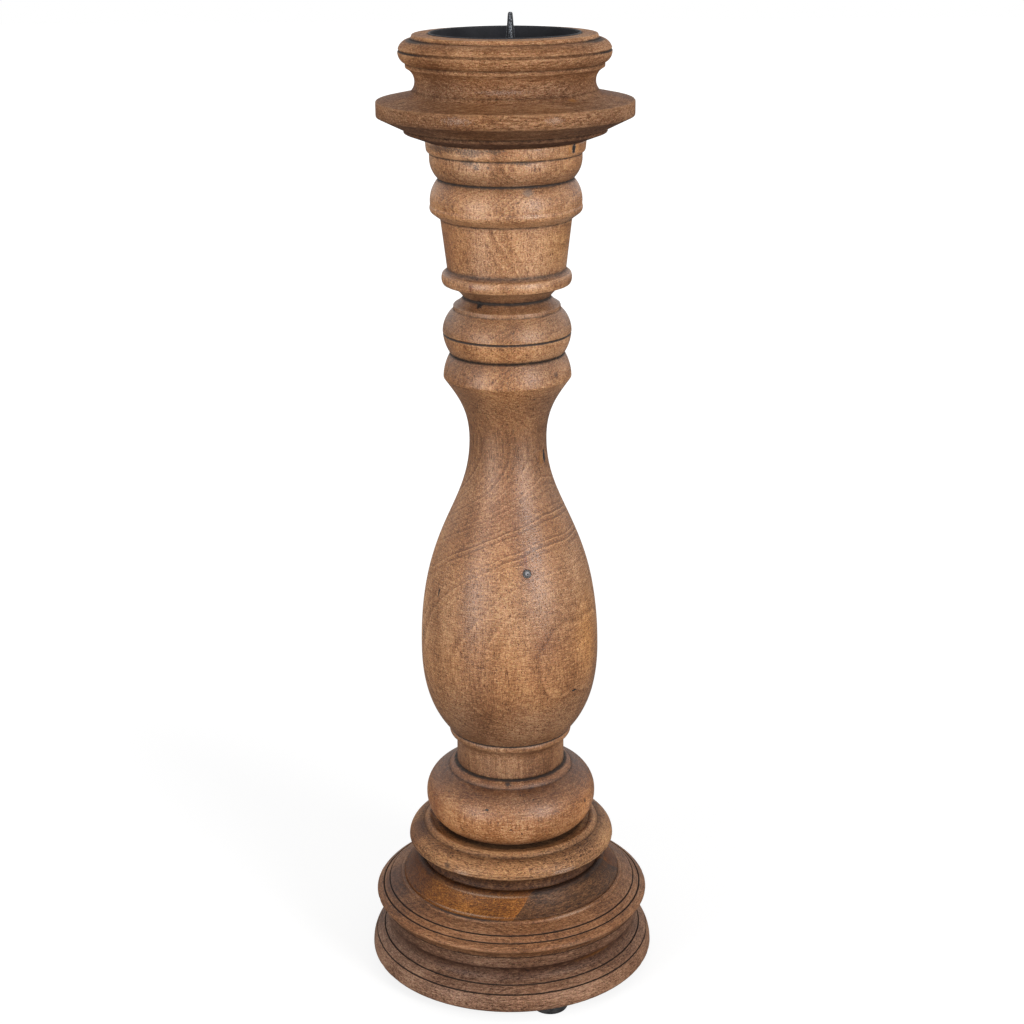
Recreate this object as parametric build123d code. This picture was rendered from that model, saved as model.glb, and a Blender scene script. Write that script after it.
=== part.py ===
from build123d import *
import math
import os

# Pricket candle stand: turned wooden column, stepped round base, lift-out iron drip pan with a spike.
# Millimetres, +Z up, origin on the floor under the middle of the base, front towards -Y.
# A "rise" is a step up the outline, and each piece stands on the top of the piece below it.
# A "bulge" is the height of an arc as a share of its chord: plus is convex, minus is hollow.

# Rubber feet
foot_count = 4
foot_height = 6.4
foot_radius = 11.3
foot_round = 1.6
foot_margin = 2.2
foot_angle = -72.0
foot_recess_gap = 1.0
foot_screw_sink = 1.2

# Plinth, the lowest tier of the base
plinth_radius = 92.4
plinth_edge_width = 1.4
plinth_edge_rise = 2.6
plinth_shoulder_width = 2.2
plinth_shoulder_rise = 8.6
plinth_band_width = 5.1
plinth_band_rise = 3.3
plinth_cove_width = 1.6
plinth_cove_rise = 11.3
plinth_neck_rise = 7.8

# Middle tier of the base
tier_radius = 89.0
tier_hollow_width = 3.0
tier_hollow_rise = 5.2
tier_edge_width = 1.0
tier_edge_rise = 1.6
tier_shoulder_width = 3.9
tier_shoulder_rise = 3.2
tier_band_width = 4.0
tier_band_rise = 2.8
tier_slope_width = 8.1
tier_slope_rise = 3.4
tier_ridge_width = 1.2
tier_ridge_rise = 1.6

# Ogee block of the base, glued up from three boards
block_foot_radius = 71.0
block_ogee_width = 9.0
block_ogee_rise = 11.7
block_shoulder_width = 4.0
block_shoulder_rise = 2.3
seam_inset = 6.35
seam_angle = -46.2

# Step ring on the block, in one piece
step_scotia_rise = 11.4
step_radius = 66.7
step_edge_width = 1.1
step_edge_rise = 1.6
step_round_width = 9.7
step_round_rise = 8.7
step_hollow_width = 2.6
step_hollow_rise = 2.3
step_lip_width = 1.0
step_lip_round_rise = 0.3
step_cleft_width = 2.9
step_cleft_depth = 2.2

# Bun between the base and the baluster
bun_foot_inset = 10.5
bun_radius = 54.7
bun_lower_rise = 21.5
bun_upper_width = 14.1
bun_upper_rise = 17.0
bun_quirk_width = 0.8
bun_quirk_rise = 0.3
bun_ring_width = 4.3
bun_ring_rise = 4.2

# Baluster, the long turned shaft
baluster_set_back = 1.0
baluster_neck_rise = 13.0
baluster_flare_width = 1.5
baluster_flare_rise = 4.0
baluster_ring_width = 3.1
baluster_ring_rise = 6.5
baluster_notch_depth = 1.3
baluster_notch_rise = 1.0
bulb_foot_overhang = 0.5
bulb_foot_rise = 1.0
bulb_radius = 56.1
bulb_lower_rise = 53.5
bulb_upper_rise = 138.0
waist_radius = 23.8
waist_rise = 39.0
baluster_bead_radius = 39.1
baluster_arris_rise = 1.0
baluster_bead_width = 4.4
baluster_bead_rise = 14.0

# Capital, the turned head of the column
collar_bead_radius = 39.0
collar_lower_rise = 11.8
collar_upper_width = 6.5
collar_upper_rise = 14.0
collar_fillet_rise = 2.5
capital_neck_radius = 26.3
capital_flare_rise = 5.0
disc_under_rise = 8.0
disc_radius = 39.0
disc_edge_width = 0.7
disc_edge_rise = 5.2
disc_round_width = 1.8
disc_round_rise = 2.0
vase_quirk_width = 1.4
vase_quirk_rise = 2.0
vase_taper_width = 3.6
vase_taper_rise = 30.1
torus_under_rise = 3.7
torus_radius = 45.2
torus_edge_width = 0.8
torus_edge_rise = 4.5
torus_round_width = 5.0
torus_round_rise = 15.5
ovolo_width = 5.1
ovolo_rise = 13.0
ovolo_fillet_rise = 2.3
abacus_round_width = 1.9
abacus_round_rise = 2.2
abacus_taper_width = 0.5
abacus_rise = 5.5

# Candle cup with its wide flange
cup_seat_overhang = 0.8
cup_fillet_radius = 60.0
cup_under_rise = 3.2
cup_fillet_rise = 3.1
flange_quirk_width = 1.4
flange_radius = 76.0
flange_under_rise = 7.2
flange_edge_rise = 7.7
flange_edge_round = 0.6
flange_top_rise = 5.8
rim_cove_width = 1.5
rim_cove_rise = 14.4
rim_fillet_rise = 2.5
rim_lower_width = 4.1
rim_lower_rise = 7.0
rim_upper_width = 6.3
rim_upper_rise = 5.1
rim_quirk_width = 0.9
rim_quirk_rise = 2.6
rim_land_width = 0.7
rim_land_rise = 0.7
rim_top_width = 9.5
rim_top_rise = 0.2

# Scribed lines, cut as small V grooves
scribe_width = 0.9
scribe_depth = 0.7
collar_groove_width = 1.3

# Drip pan and its seat in the cup
recess_radius = 45.0
recess_depth = 12.4
pan_clearance = 0.4
pan_proud = 0.7
pan_wall = 1.2
pan_corner = 4.0

# Pricket spike, its washer and its nut
spike_offset = 3.2
spike_height = 22.8
spike_foot_radius = 3.0
spike_tip_radius = 1.1
spike_tip_round = 0.5
spike_collar_radius = 6.0
spike_collar_height = 1.8
tail_radius = 2.5
tail_length = 7.0
tail_clearance = 0.2
washer_radius = 6.0
washer_thickness = 1.0
nut_sides = 6
nut_flats = 8.0
nut_height = 4.0
pocket_gap = 3.0
pocket_clearance = 2.0

# Glued dowels inside the column
dowel_radius = 10.0
dowel_chamfer = 1.0
dowel_glue_gap = 0.1
dowel_end_gap = 1.5
cup_dowel_in_cup = 25.0
cup_dowel_in_capital = 35.0
shaft_dowel_in_capital = 30.0
shaft_dowel_in_baluster = 40.0
foot_dowel_radius = 12.5
foot_dowel_in_baluster = 45.0
foot_dowel_in_base = 30.0

# Screws that hold the base together, and those of the feet
base_screw_count = 4
base_screw_pitch_radius = 34.0
base_screw_angle = 4.5
base_screw_radius = 2.5
base_screw_head_radius = 4.8
base_screw_head_height = 3.2
base_screw_point = 6.0
base_screw_bite = 13.0
counterbore_gap = 2.2
counterbore_depth = 12.0
foot_screw_radius = 1.75
foot_screw_head_radius = 3.6
foot_screw_head_height = 2.2
foot_screw_point = 3.0
foot_screw_bite = 14.0
screw_clearance = 0.2
screw_slot_width = 0.9
screw_slot_depth = 1.1
screw_tip_radius = 0.3

# How full the arcs are, and how the long curves of the baluster leave and arrive
slight_bow = 0.06
soft_bow = 0.11
round_bow = 0.17
quarter_bow = math.tan(math.pi / 8) / 2
deep_bow = 0.3
upright = 0.0
bulb_foot_pull = 0.075
bulb_foot_lean = 26.0
bulb_lower_pull = 0.71
bulb_upper_pull = 0.594
waist_lower_pull = 0.333
waist_upper_pull = 0.46
waist_flare_pull = 0.36
waist_flare_lean = 36.0

# How far a cutter runs past the face that it opens
clear_through = 1.0

# Radii that follow from the sizes above, each from the one that it steps in or out from
plinth_foot_radius = plinth_radius - plinth_edge_width
plinth_shoulder_radius = plinth_radius - plinth_shoulder_width
plinth_band_radius = plinth_shoulder_radius - plinth_band_width
plinth_neck_radius = plinth_band_radius - plinth_cove_width
foot_pitch_radius = plinth_foot_radius - foot_margin - foot_radius
tier_lip_radius = tier_radius - tier_edge_width
tier_foot_radius = tier_lip_radius - tier_hollow_width
tier_shoulder_radius = tier_radius - tier_shoulder_width
tier_band_radius = tier_shoulder_radius - tier_band_width
tier_ridge_radius = tier_band_radius - tier_slope_width
block_ogee_radius = block_foot_radius - block_ogee_width
block_neck_radius = block_ogee_radius - block_shoulder_width
step_foot_radius = step_radius - step_edge_width
step_hollow_radius = step_radius - step_round_width
step_lip_radius = step_hollow_radius - step_hollow_width
step_seat_radius = step_lip_radius - step_lip_width - step_cleft_width
seam_offset = block_neck_radius - seam_inset
bun_foot_radius = step_seat_radius - bun_foot_inset
bun_crown_radius = bun_radius - bun_upper_width
bun_ring_radius = bun_crown_radius - bun_quirk_width
bun_ring_top_radius = bun_ring_radius - bun_ring_width
baluster_neck_radius = bun_ring_top_radius - baluster_set_back
baluster_flare_radius = baluster_neck_radius + baluster_flare_width
baluster_ring_radius = baluster_flare_radius + baluster_ring_width
bulb_foot_radius = baluster_ring_radius + bulb_foot_overhang
baluster_top_radius = baluster_bead_radius - baluster_bead_width
collar_fillet_radius = collar_bead_radius - collar_upper_width
disc_foot_radius = disc_radius - disc_edge_width
disc_crown_radius = disc_radius - disc_round_width
vase_foot_radius = disc_crown_radius - vase_quirk_width
vase_head_radius = vase_foot_radius + vase_taper_width
torus_foot_radius = torus_radius - torus_edge_width
torus_cleft_radius = torus_radius - torus_round_width
ovolo_radius = torus_cleft_radius + ovolo_width
abacus_foot_radius = ovolo_radius + abacus_round_width
abacus_radius = abacus_foot_radius + abacus_taper_width
cup_seat_radius = abacus_radius + cup_seat_overhang
rim_land_radius = recess_radius + rim_top_width
rim_quirk_radius = rim_land_radius + rim_land_width
rim_crown_radius = rim_quirk_radius + rim_quirk_width
rim_bead_radius = rim_crown_radius + rim_upper_width
rim_fillet_radius = rim_bead_radius - rim_lower_width
flange_top_radius = rim_fillet_radius - rim_cove_width
pocket_radius = washer_radius + spike_offset + pocket_gap
counterbore_radius = base_screw_head_radius + counterbore_gap
foot_recess_radius = foot_screw_head_radius + foot_recess_gap
foot_recess_depth = foot_screw_head_height + foot_screw_sink


class Outline:
    """The right-hand outline of a turned piece, drawn upwards from its foot."""

    def __init__(self, radius, height):
        self.start = Vector(radius, height)
        self.here = self.start
        self.edges = []

    def _add(self, edge, end):
        self.edges.append(edge)
        self.here = end
        return self

    def line(self, radius, rise):
        end = Vector(radius, self.here.Y + rise)
        return self._add(Line(self.here, end), end)

    def bow(self, radius, rise, bulge):
        end = Vector(radius, self.here.Y + rise)
        chord = end - self.here
        middle = (self.here + end) / 2 + Vector(chord.Y, -chord.X) * bulge
        return self._add(ThreePointArc(self.here, middle, end), end)

    def sweep(self, radius, rise, foot_pull, foot_lean, head_pull, head_lean):
        # The pulls are shares of the rise, and a lean is an angle outwards from upright.
        end = Vector(radius, self.here.Y + rise)
        first = self.here + Vector(0, rise * foot_pull).rotate(Axis.Z, -foot_lean)
        last = end - Vector(0, rise * head_pull).rotate(Axis.Z, -head_lean)
        return self._add(Bezier(self.here, first, last, end), end)

    def groove(self, width):
        # A V groove that follows on from the surface below it.
        along = (self.edges[-1] % 1) * width
        inward = Vector(-along.Y, along.X).normalized() * scribe_depth
        floor = self.here + along / 2 + inward
        end = self.here + along
        self.edges.append(Line(self.here, floor))
        return self._add(Line(floor, end), end)

    def turned(self):
        axis_top = Vector(0, self.here.Y)
        axis_foot = Vector(0, self.start.Y)
        closing = [Line(self.here, axis_top), Line(axis_top, axis_foot), Line(axis_foot, self.start)]
        return revolve(Plane.XZ * make_face(self.edges + closing), Axis.Z)

    @property
    def top(self):
        return self.here.Y


def rod(radius, bottom, top):
    return Pos(0, 0, bottom) * Cylinder(radius, top - bottom, align=(Align.CENTER, Align.CENTER, Align.MIN))


def dowel(radius, bottom, top):
    return chamfer(rod(radius, bottom, top).edges().filter_by(GeomType.CIRCLE), dowel_chamfer)


def dowel_hole(radius, bottom, top):
    return rod(radius + dowel_glue_gap, bottom - dowel_end_gap, top + dowel_end_gap)


def wood_screw(radius, head_radius, head_height, point, seat, tip):
    outline = Outline(head_radius, seat - head_height).line(head_radius, head_height).line(radius, 0)
    outline.line(radius, tip - point - seat).line(screw_tip_radius, point)
    slot = Box(2 * head_radius, screw_slot_width, screw_slot_depth, align=(Align.CENTER, Align.CENTER, Align.MIN))
    return outline.turned() - Pos(0, 0, seat - head_height) * slot


def dish(radius, corner, bottom, top):
    outline = Outline(radius - corner, bottom).bow(radius, corner, quarter_bow)
    return outline.line(radius, top - bottom - corner).turned()


def around(count, pitch_radius, angle, piece):
    return [place * piece for place in PolarLocations(pitch_radius, count, angle)]


# Outlines of the turned pieces, from the floor upwards
plinth_line = Outline(plinth_foot_radius, foot_height)
plinth_line.bow(plinth_radius, plinth_edge_rise, quarter_bow)
plinth_line.bow(plinth_shoulder_radius, plinth_shoulder_rise, slight_bow)
plinth_line.groove(scribe_width)
plinth_line.line(plinth_band_radius, plinth_band_rise)
plinth_line.groove(scribe_width)
plinth_line.bow(plinth_neck_radius, plinth_cove_rise, -deep_bow)
plinth_line.line(plinth_neck_radius, plinth_neck_rise)

tier_line = Outline(tier_foot_radius, plinth_line.top)
tier_line.bow(tier_lip_radius, tier_hollow_rise, -round_bow)
tier_line.bow(tier_radius, tier_edge_rise, quarter_bow)
tier_line.bow(tier_shoulder_radius, tier_shoulder_rise, soft_bow)
tier_line.groove(scribe_width)
tier_line.line(tier_band_radius, tier_band_rise)
tier_line.groove(scribe_width)
tier_line.line(tier_ridge_radius, tier_slope_rise)
tier_line.bow(tier_ridge_radius - tier_ridge_width, tier_ridge_rise, quarter_bow)

block_line = Outline(block_foot_radius, tier_line.top)
block_line.bow(block_ogee_radius, block_ogee_rise, -slight_bow)
block_line.bow(block_neck_radius, block_shoulder_rise, quarter_bow)

step_line = Outline(block_neck_radius, block_line.top)
step_line.bow(step_foot_radius, step_scotia_rise, -deep_bow)
step_line.bow(step_radius, step_edge_rise, quarter_bow)
step_line.groove(scribe_width)
step_line.bow(step_hollow_radius, step_round_rise, round_bow)
step_line.bow(step_lip_radius, step_hollow_rise, -quarter_bow)
step_line.bow(step_lip_radius - step_lip_width, step_lip_round_rise, quarter_bow)
step_line.line(step_seat_radius, -step_cleft_depth)

bun_line = Outline(bun_foot_radius, step_line.top)
bun_line.bow(bun_radius, bun_lower_rise, round_bow)
bun_line.bow(bun_crown_radius, bun_upper_rise, round_bow)
bun_line.line(bun_ring_radius, bun_quirk_rise)
bun_line.bow(bun_ring_top_radius, bun_ring_rise, round_bow)

baluster_line = Outline(baluster_neck_radius, bun_line.top)
baluster_line.line(baluster_neck_radius, baluster_neck_rise)
baluster_line.bow(baluster_flare_radius, baluster_flare_rise, -soft_bow)
baluster_line.bow(baluster_ring_radius, baluster_ring_rise, soft_bow)
baluster_line.line(baluster_ring_radius - baluster_notch_depth, baluster_notch_rise)
baluster_line.line(bulb_foot_radius, bulb_foot_rise)
baluster_line.sweep(bulb_radius, bulb_lower_rise, bulb_foot_pull, bulb_foot_lean, bulb_lower_pull, upright)
baluster_line.sweep(waist_radius, bulb_upper_rise, bulb_upper_pull, upright, waist_lower_pull, upright)
baluster_line.sweep(baluster_bead_radius, waist_rise, waist_upper_pull, upright, waist_flare_pull, waist_flare_lean)
baluster_line.line(baluster_bead_radius, baluster_arris_rise)
baluster_line.bow(baluster_top_radius, baluster_bead_rise, slight_bow)

capital_line = Outline(baluster_top_radius, baluster_line.top)
capital_line.bow(collar_bead_radius, collar_lower_rise, slight_bow)
capital_line.groove(collar_groove_width)
capital_line.bow(collar_fillet_radius, collar_upper_rise, soft_bow)
capital_line.line(collar_fillet_radius, collar_fillet_rise)
capital_line.bow(capital_neck_radius, capital_flare_rise, -slight_bow)
capital_line.bow(disc_foot_radius, disc_under_rise, -soft_bow)
capital_line.bow(disc_radius, disc_edge_rise, soft_bow)
capital_line.bow(disc_crown_radius, disc_round_rise, quarter_bow)
capital_line.line(vase_foot_radius, vase_quirk_rise)
capital_line.line(vase_head_radius, vase_taper_rise)
capital_line.line(torus_foot_radius, torus_under_rise)
capital_line.bow(torus_radius, torus_edge_rise, round_bow)
capital_line.bow(torus_cleft_radius, torus_round_rise, soft_bow)
capital_line.bow(ovolo_radius, ovolo_rise, soft_bow)
capital_line.line(ovolo_radius, ovolo_fillet_rise)
capital_line.bow(abacus_foot_radius, abacus_round_rise, round_bow)
capital_line.line(abacus_radius, abacus_rise)

cup_line = Outline(cup_seat_radius, capital_line.top)
cup_line.line(cup_fillet_radius, cup_under_rise)
cup_line.line(cup_fillet_radius, cup_fillet_rise)
cup_line.line(cup_fillet_radius + flange_quirk_width, 0)
cup_line.line(flange_radius - flange_edge_round, flange_under_rise)
cup_line.bow(flange_radius, flange_edge_round, quarter_bow)
cup_line.line(flange_radius, flange_edge_rise - 2 * flange_edge_round)
cup_line.bow(flange_radius - flange_edge_round, flange_edge_round, quarter_bow)
cup_line.line(flange_top_radius, flange_top_rise)
cup_line.bow(rim_fillet_radius, rim_cove_rise, -deep_bow)
cup_line.line(rim_fillet_radius, rim_fillet_rise)
cup_line.bow(rim_bead_radius, rim_lower_rise, round_bow)
cup_line.groove(scribe_width)
cup_line.bow(rim_crown_radius, rim_upper_rise, round_bow)
cup_line.line(rim_quirk_radius, rim_quirk_rise)
cup_line.bow(rim_land_radius, rim_land_rise, quarter_bow)
cup_line.line(recess_radius, rim_top_rise)

# Levels that the inside pieces are set from
plinth_foot = foot_height
step_foot = block_line.top
bun_foot = step_line.top
baluster_foot = bun_line.top
capital_foot = baluster_line.top
cup_foot = capital_line.top
rim_top = cup_line.top
recess_floor = rim_top - recess_depth
pan_floor = recess_floor + pan_wall
tail_end = recess_floor - tail_length
base_screw_seat = plinth_foot + counterbore_depth
base_screw_tip = step_foot + base_screw_bite
foot_screw_tip = plinth_foot + foot_screw_bite

# Dowels
cup_dowel_ends = (cup_foot - cup_dowel_in_capital, cup_foot + cup_dowel_in_cup)
shaft_dowel_ends = (capital_foot - shaft_dowel_in_baluster, capital_foot + shaft_dowel_in_capital)
foot_dowel_ends = (bun_foot - foot_dowel_in_base, baluster_foot + foot_dowel_in_baluster)
cup_dowel = dowel(dowel_radius, *cup_dowel_ends)
shaft_dowel = dowel(dowel_radius, *shaft_dowel_ends)
foot_dowel = dowel(foot_dowel_radius, *foot_dowel_ends)
cup_dowel_hole = dowel_hole(dowel_radius, *cup_dowel_ends)
shaft_dowel_hole = dowel_hole(dowel_radius, *shaft_dowel_ends)
foot_dowel_hole = dowel_hole(foot_dowel_radius, *foot_dowel_ends)

# Screws and the holes that they sit in
base_screw = wood_screw(base_screw_radius, base_screw_head_radius, base_screw_head_height, base_screw_point,
                        base_screw_seat, base_screw_tip)
base_screw_hole = rod(base_screw_radius + screw_clearance, plinth_foot, base_screw_tip + clear_through)
base_screw_hole += rod(counterbore_radius, plinth_foot - clear_through, base_screw_seat)
foot_screw = wood_screw(foot_screw_radius, foot_screw_head_radius, foot_screw_head_height, foot_screw_point,
                        foot_recess_depth, foot_screw_tip)
foot_screw_hole = rod(foot_screw_radius + screw_clearance, -clear_through, foot_screw_tip + clear_through)
base_screws = around(base_screw_count, base_screw_pitch_radius, base_screw_angle, base_screw)
base_screw_holes = around(base_screw_count, base_screw_pitch_radius, base_screw_angle, base_screw_hole)
foot_screws = around(foot_count, foot_pitch_radius, foot_angle, foot_screw)
foot_screw_holes = around(foot_count, foot_pitch_radius, foot_angle, foot_screw_hole)

# Feet
foot = Outline(foot_radius - foot_round, 0).bow(foot_radius, foot_round, quarter_bow)
foot = foot.line(foot_radius, foot_height - foot_round).turned()
foot -= foot_screw_hole + rod(foot_recess_radius, -clear_through, foot_recess_depth)
feet = around(foot_count, foot_pitch_radius, foot_angle, foot)

# Base tiers, the block sawn along its two glue seams, and the step ring
plinth = plinth_line.turned() - base_screw_holes - foot_screw_holes
base_tier = tier_line.turned() - base_screw_holes
block = block_line.turned() - base_screw_holes - foot_dowel_hole
seam_out = Vector(math.cos(math.radians(seam_angle)), math.sin(math.radians(seam_angle)))
right_seam = Plane(seam_out * seam_offset, z_dir=seam_out)
left_seam = Plane(-seam_out * seam_offset, z_dir=-seam_out)
block_right_board = split(block, right_seam, keep=Keep.TOP)
block_left_board = split(block, left_seam, keep=Keep.TOP)
block_middle_board = split(split(block, right_seam, keep=Keep.BOTTOM), left_seam, keep=Keep.BOTTOM)
step_ring = step_line.turned() - base_screw_holes - foot_dowel_hole

# Column
bun = bun_line.turned() - foot_dowel_hole
baluster = baluster_line.turned() - foot_dowel_hole - shaft_dowel_hole
capital = capital_line.turned() - shaft_dowel_hole - cup_dowel_hole
candle_cup = cup_line.turned() - cup_dowel_hole
candle_cup -= rod(recess_radius, recess_floor, rim_top + clear_through)
candle_cup -= rod(pocket_radius, tail_end - pocket_clearance, recess_floor + clear_through)

# Lift-out pan with the spike bolted through its floor
spike_place = Pos(spike_offset, 0, 0)
pan_radius = recess_radius - pan_clearance
pan_top = rim_top + pan_proud
drip_pan = dish(pan_radius, pan_corner, recess_floor, pan_top)
drip_pan -= dish(pan_radius - pan_wall, pan_corner - pan_wall, pan_floor, pan_top + clear_through)
drip_pan -= spike_place * rod(tail_radius + tail_clearance, recess_floor - clear_through, pan_floor + clear_through)

spike_line = Outline(tail_radius, tail_end).line(tail_radius, pan_floor - tail_end)
spike_line.line(spike_collar_radius, 0).line(spike_collar_radius, spike_collar_height)
spike_line.line(spike_foot_radius, 0).line(spike_tip_radius, spike_height - spike_collar_height - spike_tip_round)
spike_line.bow(spike_tip_radius - spike_tip_round, spike_tip_round, quarter_bow)
pricket_spike = spike_place * spike_line.turned()

tail_hole = rod(tail_radius + tail_clearance, tail_end - clear_through, recess_floor + clear_through)
washer_foot = recess_floor - washer_thickness
spike_washer = spike_place * (rod(washer_radius, washer_foot, recess_floor) - tail_hole)
nut_outline = Pos(0, 0, washer_foot - nut_height) * RegularPolygon(nut_flats / 2, nut_sides, major_radius=False)
spike_nut = spike_place * (extrude(nut_outline, nut_height, dir=(0, 0, 1)) - tail_hole)

nodes = {
    "candle_cup": candle_cup,
    "capital": capital,
    "baluster": baluster,
    "bun": bun,
    "step_ring": step_ring,
    "block_middle_board": block_middle_board,
    "block_right_board": block_right_board,
    "block_left_board": block_left_board,
    "base_tier": base_tier,
    "plinth": plinth,
    "cup_dowel": cup_dowel,
    "shaft_dowel": shaft_dowel,
    "foot_dowel": foot_dowel,
    "base_screws": Compound(base_screws),
    "foot_screws": Compound(foot_screws),
    "drip_pan": drip_pan,
    "pricket_spike": pricket_spike,
    "spike_washer": spike_washer,
    "spike_nut": spike_nut,
}
for number, one_foot in enumerate(feet, start=1):
    nodes[f"rubber_foot_{number}"] = one_foot

os.makedirs("parts", exist_ok=True)
for name, piece in nodes.items():
    export_step(piece, f"parts/{name}.step")
    print(name, "volume", round(piece.volume / 1000, 2), "cm3")
print("rim height", round(rim_top, 2), "overall height", round(pan_floor + spike_height, 2))
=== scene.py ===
import bmesh
import bpy
import math
import numpy as np
from mathutils import Matrix, Vector


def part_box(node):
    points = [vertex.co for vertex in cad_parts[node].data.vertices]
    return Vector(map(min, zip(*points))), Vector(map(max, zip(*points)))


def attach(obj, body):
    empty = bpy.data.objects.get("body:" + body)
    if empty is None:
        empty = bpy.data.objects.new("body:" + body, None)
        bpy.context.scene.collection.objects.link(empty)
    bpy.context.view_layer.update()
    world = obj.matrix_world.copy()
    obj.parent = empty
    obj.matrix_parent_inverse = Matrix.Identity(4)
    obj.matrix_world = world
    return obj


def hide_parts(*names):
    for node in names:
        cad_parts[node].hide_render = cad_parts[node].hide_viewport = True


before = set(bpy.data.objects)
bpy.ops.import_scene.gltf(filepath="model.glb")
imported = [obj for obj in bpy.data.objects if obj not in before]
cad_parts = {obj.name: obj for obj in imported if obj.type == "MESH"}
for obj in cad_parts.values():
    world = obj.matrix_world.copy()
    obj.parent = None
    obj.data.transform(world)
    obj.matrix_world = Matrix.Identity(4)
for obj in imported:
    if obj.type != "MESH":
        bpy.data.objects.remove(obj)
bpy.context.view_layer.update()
scene = bpy.context.scene
mm = 0.001  # outlines and patterns are written in millimetres, the scene is in metres
print("frame loaded,", len(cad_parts), "nodes")


# One wire wraps a socket, so node maths reads as plain sums

class Wire:
    def __init__(self, tree, socket=None):
        self.tree = tree
        self.socket = socket

    def node(self, kind, settings=None, inputs=None, out=0):
        made = self.tree.nodes.new(kind)
        for name, value in (settings or {}).items():
            if name == "stops":
                setStops(made.color_ramp.elements, value)
            else:
                setattr(made, name, value)
        for key, value in (inputs or {}).items():
            if isinstance(value, Wire):
                self.tree.links.new(value.socket, made.inputs[key])
            else:
                made.inputs[key].default_value = value
        return Wire(self.tree, made.outputs[out])

    def math(self, operation, *values):
        return self.node("ShaderNodeMath", {"operation": operation}, dict(enumerate(values)))

    def vector(self, operation, *values, out=0):
        return self.node("ShaderNodeVectorMath", {"operation": operation}, dict(enumerate(values)), out)

    def __add__(self, other):
        return self.math("ADD", self, other)

    def __sub__(self, other):
        return self.math("SUBTRACT", self, other)

    def __rsub__(self, other):
        return self.math("SUBTRACT", other, self)

    def __mul__(self, other):
        return self.math("MULTIPLY", self, other)

    def __truediv__(self, other):
        return self.math("DIVIDE", self, other)

    __radd__ = __add__
    __rmul__ = __mul__

    def step(self, low, high):  # smooth step from 0 at low to 1 at high
        inputs = {"Value": self, "From Min": low, "From Max": high}
        return self.node("ShaderNodeMapRange", {"interpolation_type": "SMOOTHSTEP"}, inputs)

    def scaled(self, factors):
        return self.vector("MULTIPLY", self, factors)

    def noise(self, scale, detail=2.0, roughness=0.5, out=0):
        inputs = {"Vector": self, "Scale": scale, "Detail": detail, "Roughness": roughness}
        return self.node("ShaderNodeTexNoise", None, inputs, out)

    def mix(self, first, second, blend="MIX"):  # this wire is the factor
        settings = {"data_type": "RGBA", "blend_type": blend, "clamp_factor": True}
        return self.node("ShaderNodeMix", settings, {0: self, 6: first, 7: second}, 2)


def setStops(elements, stops):
    while len(elements) < len(stops):
        elements.new(1.0)
    for element, (place, colour) in zip(elements, stops):
        element.position = place
        element.color = (*colour, 1.0)


# Outlines of turned work, drawn upwards as (radius, height) in millimetres

slight, soft, full, deep = 0.06, 0.11, 0.17, 0.3  # bulge of an arc as a share of its chord
quarter = math.tan(math.pi / 8) / 2
drawStep = 0.2


def linePoints(start, end):
    count = max(2, math.ceil(math.dist(start, end) / drawStep))
    return [tuple(s + (e - s) * i / count for s, e in zip(start, end)) for i in range(1, count + 1)]


def bowPoints(start, end, bulge):
    chord = Vector(end) - Vector(start)
    half = 2 * math.atan(2 * bulge)
    radius = chord.length / (2 * math.sin(half))
    along = chord.normalized()
    outward = Vector((along.y, -along.x))
    centre = (Vector(start) + Vector(end)) / 2 + outward * (bulge * chord.length - radius)
    count = max(4, math.ceil(abs(2 * half * radius) / drawStep))
    turns = [half * (2 * i / count - 1) for i in range(1, count + 1)]
    return [tuple(centre + radius * (outward * math.cos(t) + along * math.sin(t))) for t in turns]


def sweepPoints(start, end, footPull, footLean, headPull, headLean):
    rise = end[1] - start[1]
    lean = [Vector((math.sin(math.radians(a)), math.cos(math.radians(a)))) for a in (footLean, headLean)]
    a, d = Vector(start), Vector(end)
    b, c = a + lean[0] * rise * footPull, d - lean[1] * rise * headPull
    count = math.ceil(rise / drawStep)
    spots = [i / count for i in range(1, count + 1)]
    return [tuple((1 - t) ** 3 * a + 3 * (1 - t) ** 2 * t * b + 3 * (1 - t) * t * t * c + t ** 3 * d)
            for t in spots]


def drawOutline(foot, strokes):
    points = [foot]
    scribes = []  # (middle, width, depth, dirt and painted shade in the groove)
    for kind, *values in strokes:
        if kind == "scribe":
            width, depth, dirtAndShade, spread = values
            along = (Vector(points[-1]) - Vector(points[-2])).normalized() * width
            points += linePoints(points[-1], tuple(Vector(points[-1]) + along))
            scribes.append((tuple(Vector(points[-1]) - along / 2), width * spread, depth, dirtAndShade))
            continue
        radius, rise, *shape = values
        end = (radius, points[-1][1] + rise)
        if kind == "line":
            points += linePoints(points[-1], end)
        elif kind == "bow":
            points += bowPoints(points[-1], end, *shape)
        else:
            points += sweepPoints(points[-1], end, *shape)
    return np.array(points), scribes


def blur(values, spread):  # along an outline, spread in millimetres
    reach = int(4 * spread / drawStep) + 1
    weights = np.exp(-0.5 * (np.arange(-reach, reach + 1) * drawStep / spread) ** 2)
    padded = np.pad(values, reach, mode="edge")
    return np.convolve(padded, weights / weights.sum(), mode="valid")


def ramp(values, low, high):
    share = np.clip((values - low) / (high - low), 0, 1)
    return share * share * (3 - 2 * share)


def evenSteps(points):  # the same line at one spacing, corners kept within half a step
    lengths = np.concatenate([[0], np.cumsum(np.hypot(*np.diff(points, axis=0).T))])
    places = np.linspace(0, lengths[-1], int(lengths[-1] / drawStep) + 1)
    return np.column_stack([np.interp(places, lengths, points[:, i]) for i in (0, 1)])


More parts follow.
